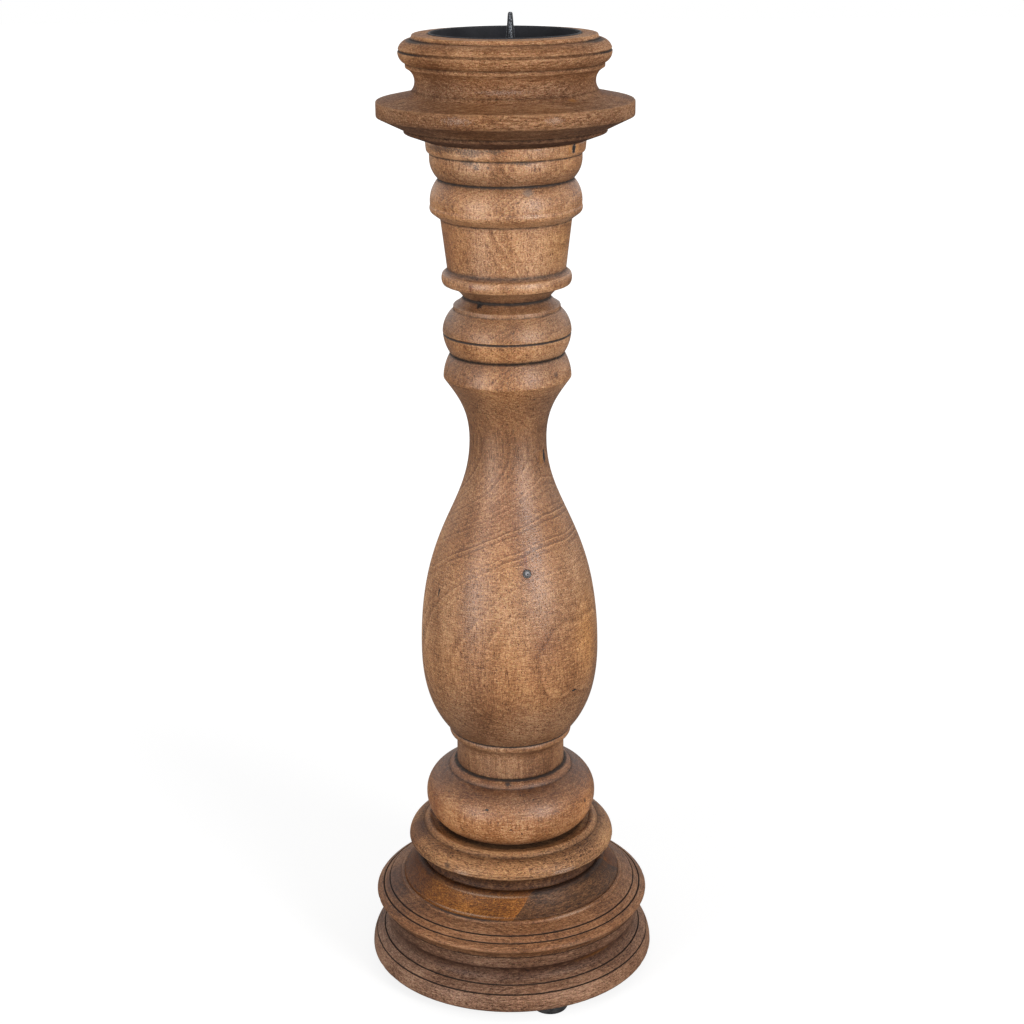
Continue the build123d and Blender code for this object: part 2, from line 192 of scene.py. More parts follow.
def normals(points):
    along = np.gradient(points, axis=0)
    along /= np.maximum(np.hypot(*along.T), 1e-9)[:, None]
    return np.column_stack([along[:, 1], -along[:, 0]])


# Rounding, mesh spacing and mark blurs; the cleft, hollow and stain marks darken creases, hollows and height
# bands with dirt, glaze, stain and painted shade
outlineSettings = {
    "arrisRound": 0.3,            # how far sanding rounds an arris, mm
    "fineTurn": 4.0,              # a new ring of the mesh after this many degrees of turn
    "longStep": 1.3,              # or after this many mm
    "arris": (0.5, 0.2, 0.8),     # blur in mm, then the bend per mm at which the mark starts and is full
    "cleft": (0.9, 0.08, 0.5),
    "hollow": (3.5, 0.03, 0.17),
    "stainAndShadeBlur": 1.2,
}
noDarkening = [(0.0, 0.0), (1.0, 0.0)]


def bendMark(bend, kind):
    spread, low, high = outlineSettings[kind]
    return ramp(blur(bend, spread), low, high)


def finishOutline(look, below, above):
    points, scribes = drawOutline(look["foot"], look["strokes"])
    points = evenSteps(points)
    ends = points[[0, -1]]
    points = np.column_stack([blur(points[:, i], outlineSettings["arrisRound"]) for i in (0, 1)])
    points[[0, -1]] = ends
    out = normals(points)
    turn = np.unwrap(np.arctan2(-out[:, 0], out[:, 1]))
    bend = np.gradient(turn) / drawStep
    marks = {
        "arris": bendMark(bend, "arris"),
        "cleft": bendMark(-bend, "cleft"),
        "hollow": bendMark(-bend, "hollow"),
        "skin": np.ones(len(points)),
        # height bands darkened: real stain, and painted shade on undersides, under overhangs and in hollows
        "stain": blur(np.interp(points[:, 1], *zip(*look.get("stain", noDarkening))), outlineSettings["stainAndShadeBlur"]),
    }
    # dark lines by height at joints and creases, and a black gap inside a radius: dirt and painted shade
    grimeAndShade = np.interp(points[:, 1], *zip(*look.get("grimeAndShade", noDarkening)))
    if "dirtAndShadeWithin" in look:  # painted shade and dirt: black inside the first radius, none outside the second
        black, untouched = look["dirtAndShadeWithin"]
        grimeAndShade = np.maximum(grimeAndShade, ramp(-points[:, 0], -untouched, -black))
    marks["cleft"] = np.maximum(marks["cleft"], grimeAndShade)
    # scribed grooves: cut in and darkened inside with dirt and painted shade; their rims count as arrises,
    # for a lighter worn edge with painted highlight
    for middle, width, depth, dirtAndShade in scribes:
        far = np.hypot(*(points - middle).T)
        points = points - out * (depth * np.clip(1 - 2 * far / width, 0, 1))[:, None]
        marks["cleft"] = np.maximum(marks["cleft"], dirtAndShade * ramp(-far, -0.7 * width, -0.3 * width))
        rim = ramp(far, 0.4 * width, 0.8 * width) * ramp(-far, -1.5 * width, -0.8 * width)
        marks["arris"] = np.maximum(marks["arris"] * ramp(far, 0.3 * width, width), 0.7 * rim)
    keep = [0]
    for i in range(1, len(points) - 1):
        length = (i - keep[-1]) * drawStep
        swing = np.ptp(turn[keep[-1]:i + 1])
        grooved = any(math.dist(points[i], m) < w for m, w, *_ in scribes)
        if length >= outlineSettings["longStep"] or swing > math.radians(outlineSettings["fineTurn"]) or grooved:
            keep.append(i)
    keep.append(len(points) - 1)
    inner = [np.array(linesThrough(below, tuple(points[0]))),
             np.array(linesThrough(tuple(points[-1]), above))]
    line = np.concatenate([inner[0].reshape(-1, 2), points[keep], inner[1].reshape(-1, 2)])
    pad = (len(inner[0].reshape(-1, 2)), len(inner[1].reshape(-1, 2)))
    return line, {name: np.pad(values[keep], pad) for name, values in marks.items()}


innerStep = 6.0


def linesThrough(first, last):  # hidden and inner faces, with a few rings each
    stops = ([*first, last] if isinstance(first, list) else [first, *last])
    points = [stops[0]]
    for a, b in zip(stops, stops[1:]):
        count = max(1, round(math.dist(a, b) / innerStep))
        points += [tuple(p + (q - p) * i / count for p, q in zip(a, b)) for i in range(1, count + 1)]
    return points[:-1] if isinstance(first, list) else points[1:]


# The lathe: a node tree that turns an outline about Z and carries its wear, dirt, stain and painted shade
# marks with it

surfaceMarks = ("arris", "cleft", "hollow", "skin", "stain")


def newTree(name, sockets):
    tree = bpy.data.node_groups.new(name, "GeometryNodeTree")
    tree.interface.new_socket("Geometry", in_out="INPUT", socket_type="NodeSocketGeometry")
    for label, kind in sockets:
        tree.interface.new_socket(label, in_out="INPUT", socket_type="NodeSocket" + kind)
    tree.interface.new_socket("Geometry", in_out="OUTPUT", socket_type="NodeSocketGeometry")
    given = tree.nodes.new("NodeGroupInput")
    return tree, {socket.name: Wire(tree, socket) for socket in given.outputs if socket.name}


def endTree(tree, shape, material):
    shape = shape.node("GeometryNodeRealizeInstances", None, {"Geometry": shape})
    shape = shape.node("GeometryNodeSetMaterial", None, {"Geometry": shape, "Material": material})
    tree.links.new(shape.socket, tree.nodes.new("NodeGroupOutput").inputs[0])


def makeLathe():
    tree, given = newTree("lathe", [("Segments", "Int"), ("Wobble", "Float"), ("Wobble Size", "Float"),
                                    ("Nicks", "Float"), ("Seed", "Float"), ("Material", "Material")])
    outline, segments = given["Geometry"], given["Segments"]
    rings = outline.node("GeometryNodeAttributeDomainSize", {"component": "MESH"}, {0: outline})
    grid = outline.node("GeometryNodeMeshGrid", None, {"Vertices X": segments + 1, "Vertices Y": rings})
    index = outline.node("GeometryNodeInputIndex")
    ring = index.math("MODULO", index, rings)
    angle = index.math("FLOOR", (index + 0.5) / rings) * (2 * math.pi) / segments

    def onOutline(value, kind):
        settings = {"data_type": kind, "domain": "POINT"}
        return outline.node("GeometryNodeSampleIndex", settings,
                            {"Geometry": outline, "Value": value, "Index": ring})

    spot = onOutline(outline.node("GeometryNodeInputPosition"), "FLOAT_VECTOR")
    radius = spot.node("ShaderNodeSeparateXYZ", None, {0: spot}, "X")
    height = spot.node("ShaderNodeSeparateXYZ", None, {0: spot}, "Z")
    named = {}
    for label in surfaceMarks:
        read = outline.node("GeometryNodeInputNamedAttribute", {"data_type": "FLOAT"}, {"Name": label})
        named[label] = onOutline(read, "FLOAT")
    east = angle.math("COSINE", angle)
    north = angle.math("SINE", angle)
    ringSpot = spot.node("ShaderNodeCombineXYZ", None,
                         {"X": east * radius, "Y": north * radius, "Z": height})
    shifted = ringSpot.vector("ADD", ringSpot, given["Seed"])
    wander = shifted.noise(shifted.math("DIVIDE", 1.0, given["Wobble Size"]), 1.0)
    chips = shifted.noise(230.0, 2.0).step(0.52, 0.75)
    bent = radius + (wander - 0.5) * given["Wobble"] * named["skin"] - chips * named["arris"] * given["Nicks"]
    place = spot.node("ShaderNodeCombineXYZ", None, {"X": east * bent, "Y": north * bent, "Z": height})
    shape = grid.node("GeometryNodeSetPosition", None, {"Geometry": grid, "Position": place})
    for label in surfaceMarks:
        inputs = {"Geometry": shape, "Name": label, "Value": named[label]}
        shape = shape.node("GeometryNodeStoreNamedAttribute", {"data_type": "FLOAT", "domain": "POINT"},
                           inputs)
    shape = shape.node("GeometryNodeMergeByDistance", None, {"Geometry": shape, "Distance": 1e-6})
    shape = shape.node("GeometryNodeSetShadeSmooth", None, {"Geometry": shape, "Shade Smooth": True})
    endTree(tree, shape, given["Material"])
    return tree


def makeRingOf():
    tree, given = newTree("ringOf", [("Count", "Int"), ("Pitch Radius", "Float"), ("First Angle", "Float"),
                                     ("Spin", "Float"), ("Seed", "Int"), ("Material", "Material")])
    shape = given["Geometry"]
    inputs = {"Vertices": given["Count"], "Radius": given["Pitch Radius"]}
    spots = shape.node("GeometryNodeMeshCircle", None, inputs)
    turn = shape.node("ShaderNodeCombineXYZ", None, {"Z": given["First Angle"]})
    spots = shape.node("GeometryNodeTransform", None, {"Geometry": spots, "Rotation": turn})
    spin = shape.node("FunctionNodeRandomValue", {"data_type": "FLOAT"},
                      {"Min": 0.0, 3: given["Spin"], "Seed": given["Seed"]}, 1)
    twist = shape.node("ShaderNodeCombineXYZ", None, {"Z": spin})
    inputs = {"Points": spots, "Instance": shape, "Rotation": twist}
    endTree(tree, shape.node("GeometryNodeInstanceOnPoints", None, inputs), given["Material"])
    return tree


latheTree = makeLathe()
ringTree = makeRingOf()


def runTree(tree, name, mesh, values):
    holder = bpy.data.objects.new(name, mesh)
    scene.collection.objects.link(holder)
    modifier = holder.modifiers.new(tree.name, "NODES")
    modifier.node_group = tree
    labels = {item.name: item.identifier for item in tree.interface.items_tree if item.in_out == "INPUT"}
    for label, value in values.items():
        modifier[labels[label]] = value
    return settle(holder)


def settle(holder):  # the evaluated shape as a plain mesh, with outward faces
    seen = holder.evaluated_get(bpy.context.evaluated_depsgraph_get())
    mesh = bpy.data.meshes.new_from_object(seen)
    holder.modifiers.clear()
    holder.data = mesh
    shape = bmesh.new()
    shape.from_mesh(mesh)
    bmesh.ops.recalc_face_normals(shape, faces=shape.faces)
    shape.to_mesh(mesh)
    shape.free()
    return holder


def turnPiece(name, look, material, below=None, above=None):
    line, marks = finishOutline(look, below or [], above or [])
    mesh = bpy.data.meshes.new(name)
    mesh.from_pydata([(r * mm, 0, z * mm) for r, z in line], [(i, i + 1) for i in range(len(line) - 1)], [])
    for label in surfaceMarks:
        mesh.attributes.new(label, "FLOAT", "POINT").data.foreach_set("value",
                                                                      marks[label].astype(np.float32))
    values = {"Segments": look["segments"], "Wobble": look["wobble"] * mm,
              "Wobble Size": look["wobbleSize"] * mm,
              "Nicks": look["nicks"] * mm, "Seed": look["seed"], "Material": material}
    piece = runTree(latheTree, name, mesh, values)
    print(name, "turned,", len(line), "rings,", sum(len(p.vertices) - 2 for p in piece.data.polygons),
          "triangles")
    return piece


def finishPiece(piece, body, nodes):
    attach(piece, body)
    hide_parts(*nodes)


# Levels, read from the frame

def levels(node):
    low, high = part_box(node)
    return low.z / mm, high.z / mm


# Materials

def newMaterial(name):
    material = bpy.data.materials.new(name)
    material.use_nodes = True
    material.node_tree.nodes.clear()
    return material, Wire(material.node_tree)


def inMillimetres(start):
    place = start.node("ShaderNodeTexCoord", out="Object")
    return place.vector("MULTIPLY", place, (1 / mm,) * 3)


def endMaterial(material, sockets):
    tree = material.node_tree
    shader = Wire(tree).node("ShaderNodeBsdfPrincipled", None, sockets)
    output = tree.nodes.new("ShaderNodeOutputMaterial")
    tree.links.new(shader.socket, output.inputs["Surface"])
    return material


def addMarks(colour, here, marks, radiusAt):  # each mark: angle from the front and height, half sizes, kind
    coarse = here.noise(0.9, 2.0) - 0.5
    fine = here.noise(2.4, 2.0) - 0.5
    dents = coarse * 0.0
    for angle, height, width, tall, kind in marks:
        look = markKinds[kind]
        radius = radiusAt(height)
        turn = math.radians(angle)
        spot = (radius * math.sin(turn), -radius * math.cos(turn), height)
        turned = {"Vector": here, "Location": spot, "Rotation": (0, 0, turn),
                  "Scale": (width, max(width, 4.0), tall)}
        local = here.node("ShaderNodeMapping", {"vector_type": "TEXTURE"}, turned)
        ragged = fine if min(width, tall) < fineMark else coarse
        far = local.vector("LENGTH", local, out="Value") + ragged * look["ragged"]
        share = far.step(1.0, look["core"]) * look["strength"]
        if look["broken"]:  # left on high spots only
            share = share * fine.step(-0.12, 0.10)
        colour = share.mix(colour, (*look["colour"], 1.0), look["blend"])
        if look["dent"]:
            dents = dents + share * look["dent"]
    return colour, dents


fineMark = 1.6  # marks smaller than this get finer edges


def paintMark(colour, strength, ragged, core, broken=False, dent=0.0):  # covers the wood's own colour
    return {"colour": colour, "strength": strength, "ragged": ragged, "core": core, "blend": "MIX",
            "broken": broken, "dent": dent}


def tintMark(colour, strength, ragged, core):  # multiplies the wood's own colour
    return dict(paintMark(colour, strength, ragged, core), blend="MULTIPLY")


markKinds = {
    "pit": paintMark((0.012, 0.008, 0.007), strength=1.0, ragged=1.3, core=0.6, dent=2.0),
    "knotRing": paintMark((0.010, 0.008, 0.009), strength=1.0, ragged=0.2, core=0.85, dent=2.0),
    "knotHeart": paintMark((0.26, 0.25, 0.26), strength=0.95, ragged=0.4, core=0.7, dent=-1.0),
    # dark smudges: dirt, and painted shade where they lie under the flange
    "smudgeAndShade": paintMark((0.072, 0.045, 0.030), strength=1.0, ragged=1.5, core=0.55, broken=True),
    "greySmear": paintMark((0.23, 0.19, 0.16), strength=0.6, ragged=0.7, core=0.3),
    "glow": paintMark((0.52, 0.22, 0.05), strength=0.65, ragged=0.6, core=0.1),
    # pale broken lines along arrises: painted highlight
    "paintedHighlightLine": paintMark((0.60, 0.43, 0.31), strength=0.6, ragged=0.9, core=0.2, broken=True),
    # pale speckled patches on edges and the cove: wear and painted highlight
    "rubbedAndSheen": paintMark((0.62, 0.46, 0.37), strength=0.55, ragged=1.8, core=0.1, broken=True),
    # near-black lines and patches: grime and painted shade in creases and along ridges
    "grimyAndShaded": paintMark((0.030, 0.021, 0.018), strength=0.9, ragged=1.2, core=0.4),
    "halo": tintMark((0.55, 0.45, 0.42), strength=0.7, ragged=0.5, core=0.1),
    "redStreak": tintMark((0.55, 0.34, 0.31), strength=0.8, ragged=0.7, core=0.1),
    # darker tint: dark wood, and painted shade where it lies on a left side
    "darkTintAndShade": tintMark((0.68, 0.56, 0.50), strength=0.75, ragged=0.5, core=0.0),
    "golden": tintMark((1.06, 1.03, 0.82), strength=0.9, ragged=0.3, core=0.0),
    # pinkish-grey tint: painted sheen at the front of the bulb
    "paintedSheen": tintMark((0.98, 1.04, 1.30), strength=0.8, ragged=0.3, core=0.0),
    "shaded": tintMark((0.42, 0.37, 0.40), strength=0.9, ragged=0.3, core=0.3),
    # lighter tint over a whole side: painted light on the right
    "paintedLitSide": tintMark((1.35, 1.30, 1.15), strength=1.0, ragged=0.3, core=0.0),
}
woodScale = {  # noise cells per mm
    "fibre": 1.0, "pore": 1.7, "speckle": 2.4, "fleck": 1.8, "broad": 0.045, "patch": 0.016, "pit": 0.42,
    "pitGroup": 0.05,
    "wornAndHighlight": 0.12, "settled": 0.35,
}
sandingTrail = {"turns": 9.0, "perRadius": 0.8, "perHeight": 1.2, "detail": 3.0, "rough": 0.65}
dashTrail = {"turns": 38.0, "perRadius": 1.6, "perHeight": 2.1, "detail": 2.0, "rough": 0.6}


def latheTrail(flat, radius, height, trail):  # noise drawn out round the lathe
    spun = flat.vector("NORMALIZE", flat).scaled((trail["turns"], trail["turns"], 0))
    lift = flat.node("ShaderNodeCombineXYZ", None, {"Z": radius * trail["perRadius"]})
    return flat.node("ShaderNodeTexNoise", {"noise_dimensions": "4D"},
                     {"Vector": spun.vector("ADD", spun, lift), "W": height * trail["perHeight"],
                      "Scale": 1.0,
                      "Detail": trail["detail"], "Roughness": trail["rough"]})


def turnedWood(name, wood, marks=(), radiusAt=None):
    material, start = newMaterial(name)
    here = inMillimetres(start)
    flat = here.scaled((1, 1, 0))
    radius = flat.vector("LENGTH", flat, out="Value")
    height = here.node("ShaderNodeSeparateXYZ", None, {0: here}, "Z")
    arris, cleft, hollow, skin, stain = (start.node("ShaderNodeAttribute", {"attribute_name": n}, out="Fac")
                                         for n in surfaceMarks)

    # growth rings about the pith, bent by slow noise
    turn = tuple(math.radians(a) for a in wood["grainTurn"])
    grain = here.node("ShaderNodeMapping", {"vector_type": "TEXTURE"},
                      {"Vector": here, "Location": wood["pith"], "Rotation": turn})
    sway = grain.scaled((1, 1, 0.3)).noise(wood["swaySize"], 2.0, 0.5, "Color")
    sway = sway.vector("SUBTRACT", sway, (0.5, 0.5, 0.5)).scaled((wood["sway"],) * 3)
    bent = grain.vector("ADD", grain, sway)
    across = bent.scaled((1, 1, 0))
    along = bent.node("ShaderNodeSeparateXYZ", None, {0: bent}, "Z")
    ringCount = (across.vector("LENGTH", across, out="Value") + along * wood["taper"]) / wood["ringGap"]
    saw = ringCount.math("FRACT", ringCount)
    late = saw.step(0.35, 0.92) * (1 - saw.step(0.93, 1.0))
    ringStrength = ringCount.node("ShaderNodeTexNoise", {"noise_dimensions": "1D"},
                                  {"W": ringCount * 0.41, "Scale": 1.0, "Detail": 1.0}).step(0.35, 0.7)
    early = saw.step(0.0, 0.06) * (1 - saw.step(0.08, 0.32))
    low, high, gain = wood["figure"]  # rings show more between these heights
    span = height.step(low - 8, low + 8) * (1 - height.step(high - 8, high + 8))
    rings = (late - early * 0.8) * ringStrength * (1 + span * gain)

    # fibres and open pores along the grain, sanding lines and short dashes round the lathe, fine speckle
    fibre = bent.scaled((1.0, 1.0, 0.08)).noise(woodScale["fibre"], 3.0, 0.65)
    pores = bent.scaled((1.0, 1.0, 0.16)).noise(woodScale["pore"], 1.0).step(0.60, 0.70)
    pitGroups = here.noise(woodScale["pitGroup"], 1.0).step(0.45, 0.6)
    pits = here.noise(woodScale["pit"], 1.0).step(0.725, 0.75) * pitGroups * wood["pits"]
    sanding = latheTrail(flat, radius, height, sandingTrail)
    dashes = latheTrail(flat, radius, height, dashTrail)
    speckle = here.noise(woodScale["speckle"], 2.0, 0.7)
    broad = bent.scaled((1, 1, 0.25)).noise(woodScale["broad"], 2.0, 0.55)
    patch = here.noise(woodScale["patch"], 1.0)

    tone = 0.5 + (broad - 0.5) * wood["broad"] + (fibre - 0.5) * wood["fibre"]
    tone = tone + (sanding - 0.5) * wood["sanding"] + (speckle - 0.5) * wood["speckle"]
    tone = tone + (dashes - 0.5) * wood["dashes"]
    tone = tone - rings * wood["rings"] - pores * wood["pores"]
    stops = [(0.0, wood["deep"]), (0.5, wood["mid"]), (1.0, wood["pale"])]
    colour = start.node("ShaderNodeValToRGB", {"stops": stops}, {0: tone})
    colour = patch.step(0.38, 0.62).mix(colour, (*wood["tint"], 1.0), "MULTIPLY")
    flecks = here.noise(woodScale["fleck"], 1.0, 0.5, "Color")
    flecks = flecks.vector("SUBTRACT", flecks, (0.5, 0.5, 0.5)).scaled((wood["flecks"],) * 3)
    colour = colour.vector("MULTIPLY", colour, flecks.vector("ADD", flecks, (1, 1, 1)))

    # raw inner faces, then worn arrises in a bare colour as wear and painted highlight, then hollows, height
    # bands and clefts darkened: glaze, stain, dirt and painted shade
    bare = (1 - skin.step(0.0, 0.9)) * 0.8
    colour = bare.mix(colour, (*wood["raw"], 1.0))
    # worn arrises take the bare colour: real wear and painted highlight on the edges
    wornAndHighlight = arris * here.noise(woodScale["wornAndHighlight"], 2.0).step(0.3, 0.6)
    colour = (wornAndHighlight * wood["wornAndHighlight"]).mix(colour, (*wood["bare"], 1.0))
    colour = pits.mix(colour, (*wood["dirtAndShade"], 1.0))
    colour, dents = addMarks(colour, here, marks, radiusAt)
    settled = here.noise(woodScale["settled"], 3.0, 0.6)
    # glaze in hollows and stain by height multiply the colour darker: glaze, stain and painted shade
    shade = hollow.math("MAXIMUM", hollow * wood["hollowGlazeAndShade"], stain) * (0.6 + settled * 0.8)
    colour = shade.mix(colour, (*wood["glazeAndShade"], 1.0), "MULTIPLY")
    # near black in clefts, scribes, joints and gaps: dirt and painted shade
    dirtAndShade = (cleft * (settled + 0.45)).step(0.1, 0.95) * wood["cleftDirtAndShade"]
    colour = dirtAndShade.mix(colour, (*wood["dirtAndShade"], 1.0))

    rough = wood["roughness"] + (broad - 0.5) * 0.2 + (speckle - 0.5) * 0.25
    rough = rough + shade * 0.12 + dirtAndShade * 0.3 - wornAndHighlight * 0.06
    relief = fibre * 0.5 + sanding * 0.7 + speckle * 0.5 + dashes * 0.6
    relief = relief - pores * 0.7 - rings * 0.08 - pits * 2.0 - dents
    bump = relief.node("ShaderNodeBump", None,
                       {"Strength": wood["bump"], "Distance": 0.16 * mm, "Height": relief})
    return endMaterial(material, {"Base Color": colour, "Roughness": rough, "Normal": bump,
                                  "Specular IOR Level": wood["specular"]})


columnWood = {
    "deep": (0.13, 0.05, 0.018), "mid": (0.395, 0.186, 0.082), "pale": (0.70, 0.41, 0.22),
    # the glaze and dirt colours darken hollows, height bands and clefts: glaze, dirt and painted shade
    "tint": (1.02, 0.94, 0.80), "bare": (0.50, 0.27, 0.13), "glazeAndShade": (0.20, 0.165, 0.17),
    "dirtAndShade": (0.012, 0.007, 0.005), "raw": (0.46, 0.30, 0.17), "pith": (-5.5, 7.5, 0.0),
    "grainTurn": (0.5, -0.4, 0.0), "taper": 0.01, "ringGap": 1.4, "sway": 4.0, "swaySize": 0.03,
    "figure": (288.0, 345.0, 1.0), "broad": 1.0, "fibre": 0.8, "sanding": 1.1, "speckle": 1.6,
    "dashes": 1.5, "rings": 0.16, "pores": 0.45, "pits": 0.5, "flecks": 0.5, "wornAndHighlight": 0.4,
    "hollowGlazeAndShade": 0.75, "cleftDirtAndShade": 0.95, "roughness": 0.37, "specular": 0.5, "bump": 0.8,
}
baseWood = dict(columnWood, deep=(0.06, 0.024, 0.011), mid=(0.185, 0.083, 0.040), pale=(0.40, 0.21, 0.11),
                tint=(1.0, 0.94, 0.86), bare=(0.34, 0.17, 0.09), specular=0.2, speckle=1.8, dashes=1.6,
                rings=0.1, fibre=1.0, roughness=0.45, broad=1.0)


# Turned wooden pieces

scribe = ("scribe", 0.9, 0.8, 1.0, 1.15)  # width, depth, dirt and painted shade in the groove, how much wider it has worn

plinthLook = {
    "node": "plinth", "radius": 91.0, "segments": 288, "wobble": 0.22, "wobbleSize": 30.0, "nicks": 0.5,
    "seed": 3.0,
    "strokes": [("bow", 92.4, 2.6, quarter), ("bow", 90.2, 8.6, slight), scribe, ("line", 85.1, 3.3),
                scribe, ("bow", 83.5, 11.3, -deep), ("line", 83.5, 7.8)],
    # stain and painted shade by height: undersides, hollows and faces under overhangs darker
    "stain": [(6, 0.2), (12, 0.1), (17, 0.2), (22, 0.45), (27, 0.8), (33, 1.0), (34, 0.5), (40, 0.5)],
    # dark joint and crease lines by height: dirt and painted shade
    "grimeAndShade": [(40.4, 0.0), (41.0, 0.8), (41.4, 1.0)],
    "marks": [(41.6, 31.2, 26.0, 2.2, "glow"), (40.0, 30.0, 20.0, 1.6, "glow")],
    "wood": dict(baseWood, mid=(0.252, 0.130, 0.078), pale=(0.48, 0.29, 0.185), pith=(0.0, 90.0, -60.0),
                 grainTurn=(0.0, 90.0, 12.0), ringGap=3.0),
}
tierLook = {
    "node": "base_tier", "radius": 85.0, "segments": 288, "wobble": 0.22, "wobbleSize": 28.0, "nicks": 0.5,
    "seed": 7.0,
    "strokes": [("bow", 88.0, 5.2, -full), ("bow", 89.0, 1.6, quarter), ("bow", 85.1, 3.2, soft), scribe,
                ("line", 81.1, 2.8), scribe, ("line", 73.0, 3.4), ("bow", 71.8, 1.6, quarter)],
    # stain and painted shade by height: undersides, hollows and faces under overhangs darker
    "stain": [(41.4, 0.6), (45, 0.3), (47, 0.0), (59, 0.1)],
    # dark joint and crease lines by height: dirt and painted shade
    "grimeAndShade": [(41.4, 0.9), (42.2, 0.3), (43, 0.0)],
    # tier marks: painted shade on the left and along the inner ridge, painted highlights along the top and
    # bottom arrises
    "marks": [(-82.0, 56.5, 30.0, 7.0, "shaded"), (-25.0, 59.7, 42.0, 0.5, "grimyAndShaded"),
              (32.0, 59.3, 25.0, 1.0, "paintedHighlightLine"), (30.0, 47.2, 26.0, 0.7, "paintedHighlightLine")],
    "wood": dict(baseWood, mid=(0.213, 0.092, 0.040), pith=(0.0, 60.0, -40.0),
                 grainTurn=(0.0, 90.0, -20.0), ringGap=2.6),
}
blockLook = {
    "node": "block_middle_board", "radius": 71.0, "segments": 240, "wobble": 0.2, "wobbleSize": 26.0,
    "nicks": 0.5, "seed": 11.0,
    "strokes": [("bow", 62.0, 11.7, -slight), ("bow", 58.0, 2.3, quarter)],
    # stain and painted shade by height: undersides, hollows and faces under overhangs darker
    "stain": [(60.3, 0.3), (62, 0.05), (71, 0.0), (72.4, 0.8), (74.3, 1.0)],
    # block marks: painted shade on the left and at the right end of the middle board, painted highlights
    # along the shoulder and foot arrises
    "marks": [(-70.0, 69.0, 34.0, 18.0, "shaded"), (-96.0, 66.0, 34.0, 18.0, "shaded"),
              (94.0, 68.0, 26.0, 18.0, "shaded"), (-14.0, 71.4, 42.0, 1.0, "paintedHighlightLine"),
              (-25.0, 61.0, 42.0, 0.6, "paintedHighlightLine")],
    "wood": dict(baseWood, deep=(0.06, 0.018, 0.004), mid=(0.20, 0.066, 0.010), pale=(0.44, 0.18, 0.042),
                 # strong pale arrises: wear and painted highlight
                 specular=0.2, bare=(0.52, 0.33, 0.20), wornAndHighlight=0.9, pith=(0.0, 50.0, 20.0),
                 grainTurn=(0.0, 90.0, 36.0), ringGap=2.6),
}
stepLook = {
    "node": "step_ring", "radius": 58.0, "segments": 240, "wobble": 0.2, "wobbleSize": 26.0, "nicks": 0.5,
    # the gap round the bun's foot is drawn black: painted shade and dirt
    "seed": 12.0, "dirtAndShadeWithin": (45.0, 49.5),
    "strokes": [("bow", 65.6, 11.4, -deep), ("bow", 66.7, 1.6, quarter), ("scribe", 0.9, 0.3, 0.4, 1.0),
                ("bow", 58.0, 8.1, full), ("bow", 56.6, 0.6, -soft), ("bow", 54.2, 2.5, soft),
                ("bow", 51.0, -1.2, 0.12), ("line", 44.0, -0.9), ("line", 38.0, 0.0)],
    # stain and painted shade by height: undersides, hollows and faces under overhangs darker
    "stain": [(73, 1.0), (81, 0.9), (84.5, 0.6), (86, 0.1), (92, 0.0), (94.5, 0.2), (96.3, 0.7),
              (97.6, 0.2), (99.4, 0.0)],
    # step ring marks: a smudge, painted highlights on the front edge, painted shade on the left
    "marks": [(-38.2, 89.3, 3.0, 2.6, "smudgeAndShade"), (-28.0, 87.0, 8.0, 2.4, "rubbedAndSheen"),
              (30.0, 87.5, 11.0, 2.4, "rubbedAndSheen"), (-80.0, 92.0, 22.0, 14.0, "shaded")],
    "wood": dict(baseWood, mid=(0.345, 0.163, 0.070), pale=(0.58, 0.32, 0.15), pith=(20.0, 40.0, 60.0),
                 grainTurn=(0.0, 90.0, -25.0), ringGap=2.2, rings=0.16, wornAndHighlight=0.35, bare=(0.50, 0.31, 0.18),
                 cleftDirtAndShade=0.6),
}
bunLook = {
    "node": "bun", "radius": 40.0, "segments": 224, "wobble": 0.2, "wobbleSize": 24.0, "nicks": 0.4,
    "seed": 13.0,
    "strokes": [("bow", 54.7, 21.5, full), ("bow", 40.6, 17.0, full), ("line", 39.8, 0.3),
                ("bow", 35.5, 4.2, soft)],
    # stain and painted shade by height: undersides, hollows and faces under overhangs darker
    "stain": [(97, 1.0), (101, 0.5), (105, 0.1), (110, 0.0), (118, 0.1), (126, 0.35), (132, 0.75),
              (136.5, 0.9), (138, 0.5), (140, 0.8)],
    # dark joint and crease lines by height: dirt and painted shade
    "grimeAndShade": [(97, 1.0), (100, 0.5), (102, 0.0), (139.0, 0.0), (139.8, 1.0), (140.2, 1.0)],
    # bun marks: pits, a dark joint patch with painted shade, painted light on the right, painted shade on the
    # left
    "marks": [(-16.8, 126.8, 1.5, 0.8, "pit"), (-0.1, 115.0, 0.9, 0.6, "pit"),
              (7.3, 111.6, 0.6, 0.9, "pit"), (-2.6, 138.6, 2.7, 1.7, "grimyAndShaded"),
              (61.0, 121.0, 1.0, 1.4, "pit"), (62.0, 116.0, 18.0, 18.0, "paintedLitSide"),
              (-66.0, 118.0, 24.0, 20.0, "darkTintAndShade")],
    "wood": dict(columnWood, mid=(0.388, 0.160, 0.061), pits=0.95, speckle=1.7, dashes=1.8),
}
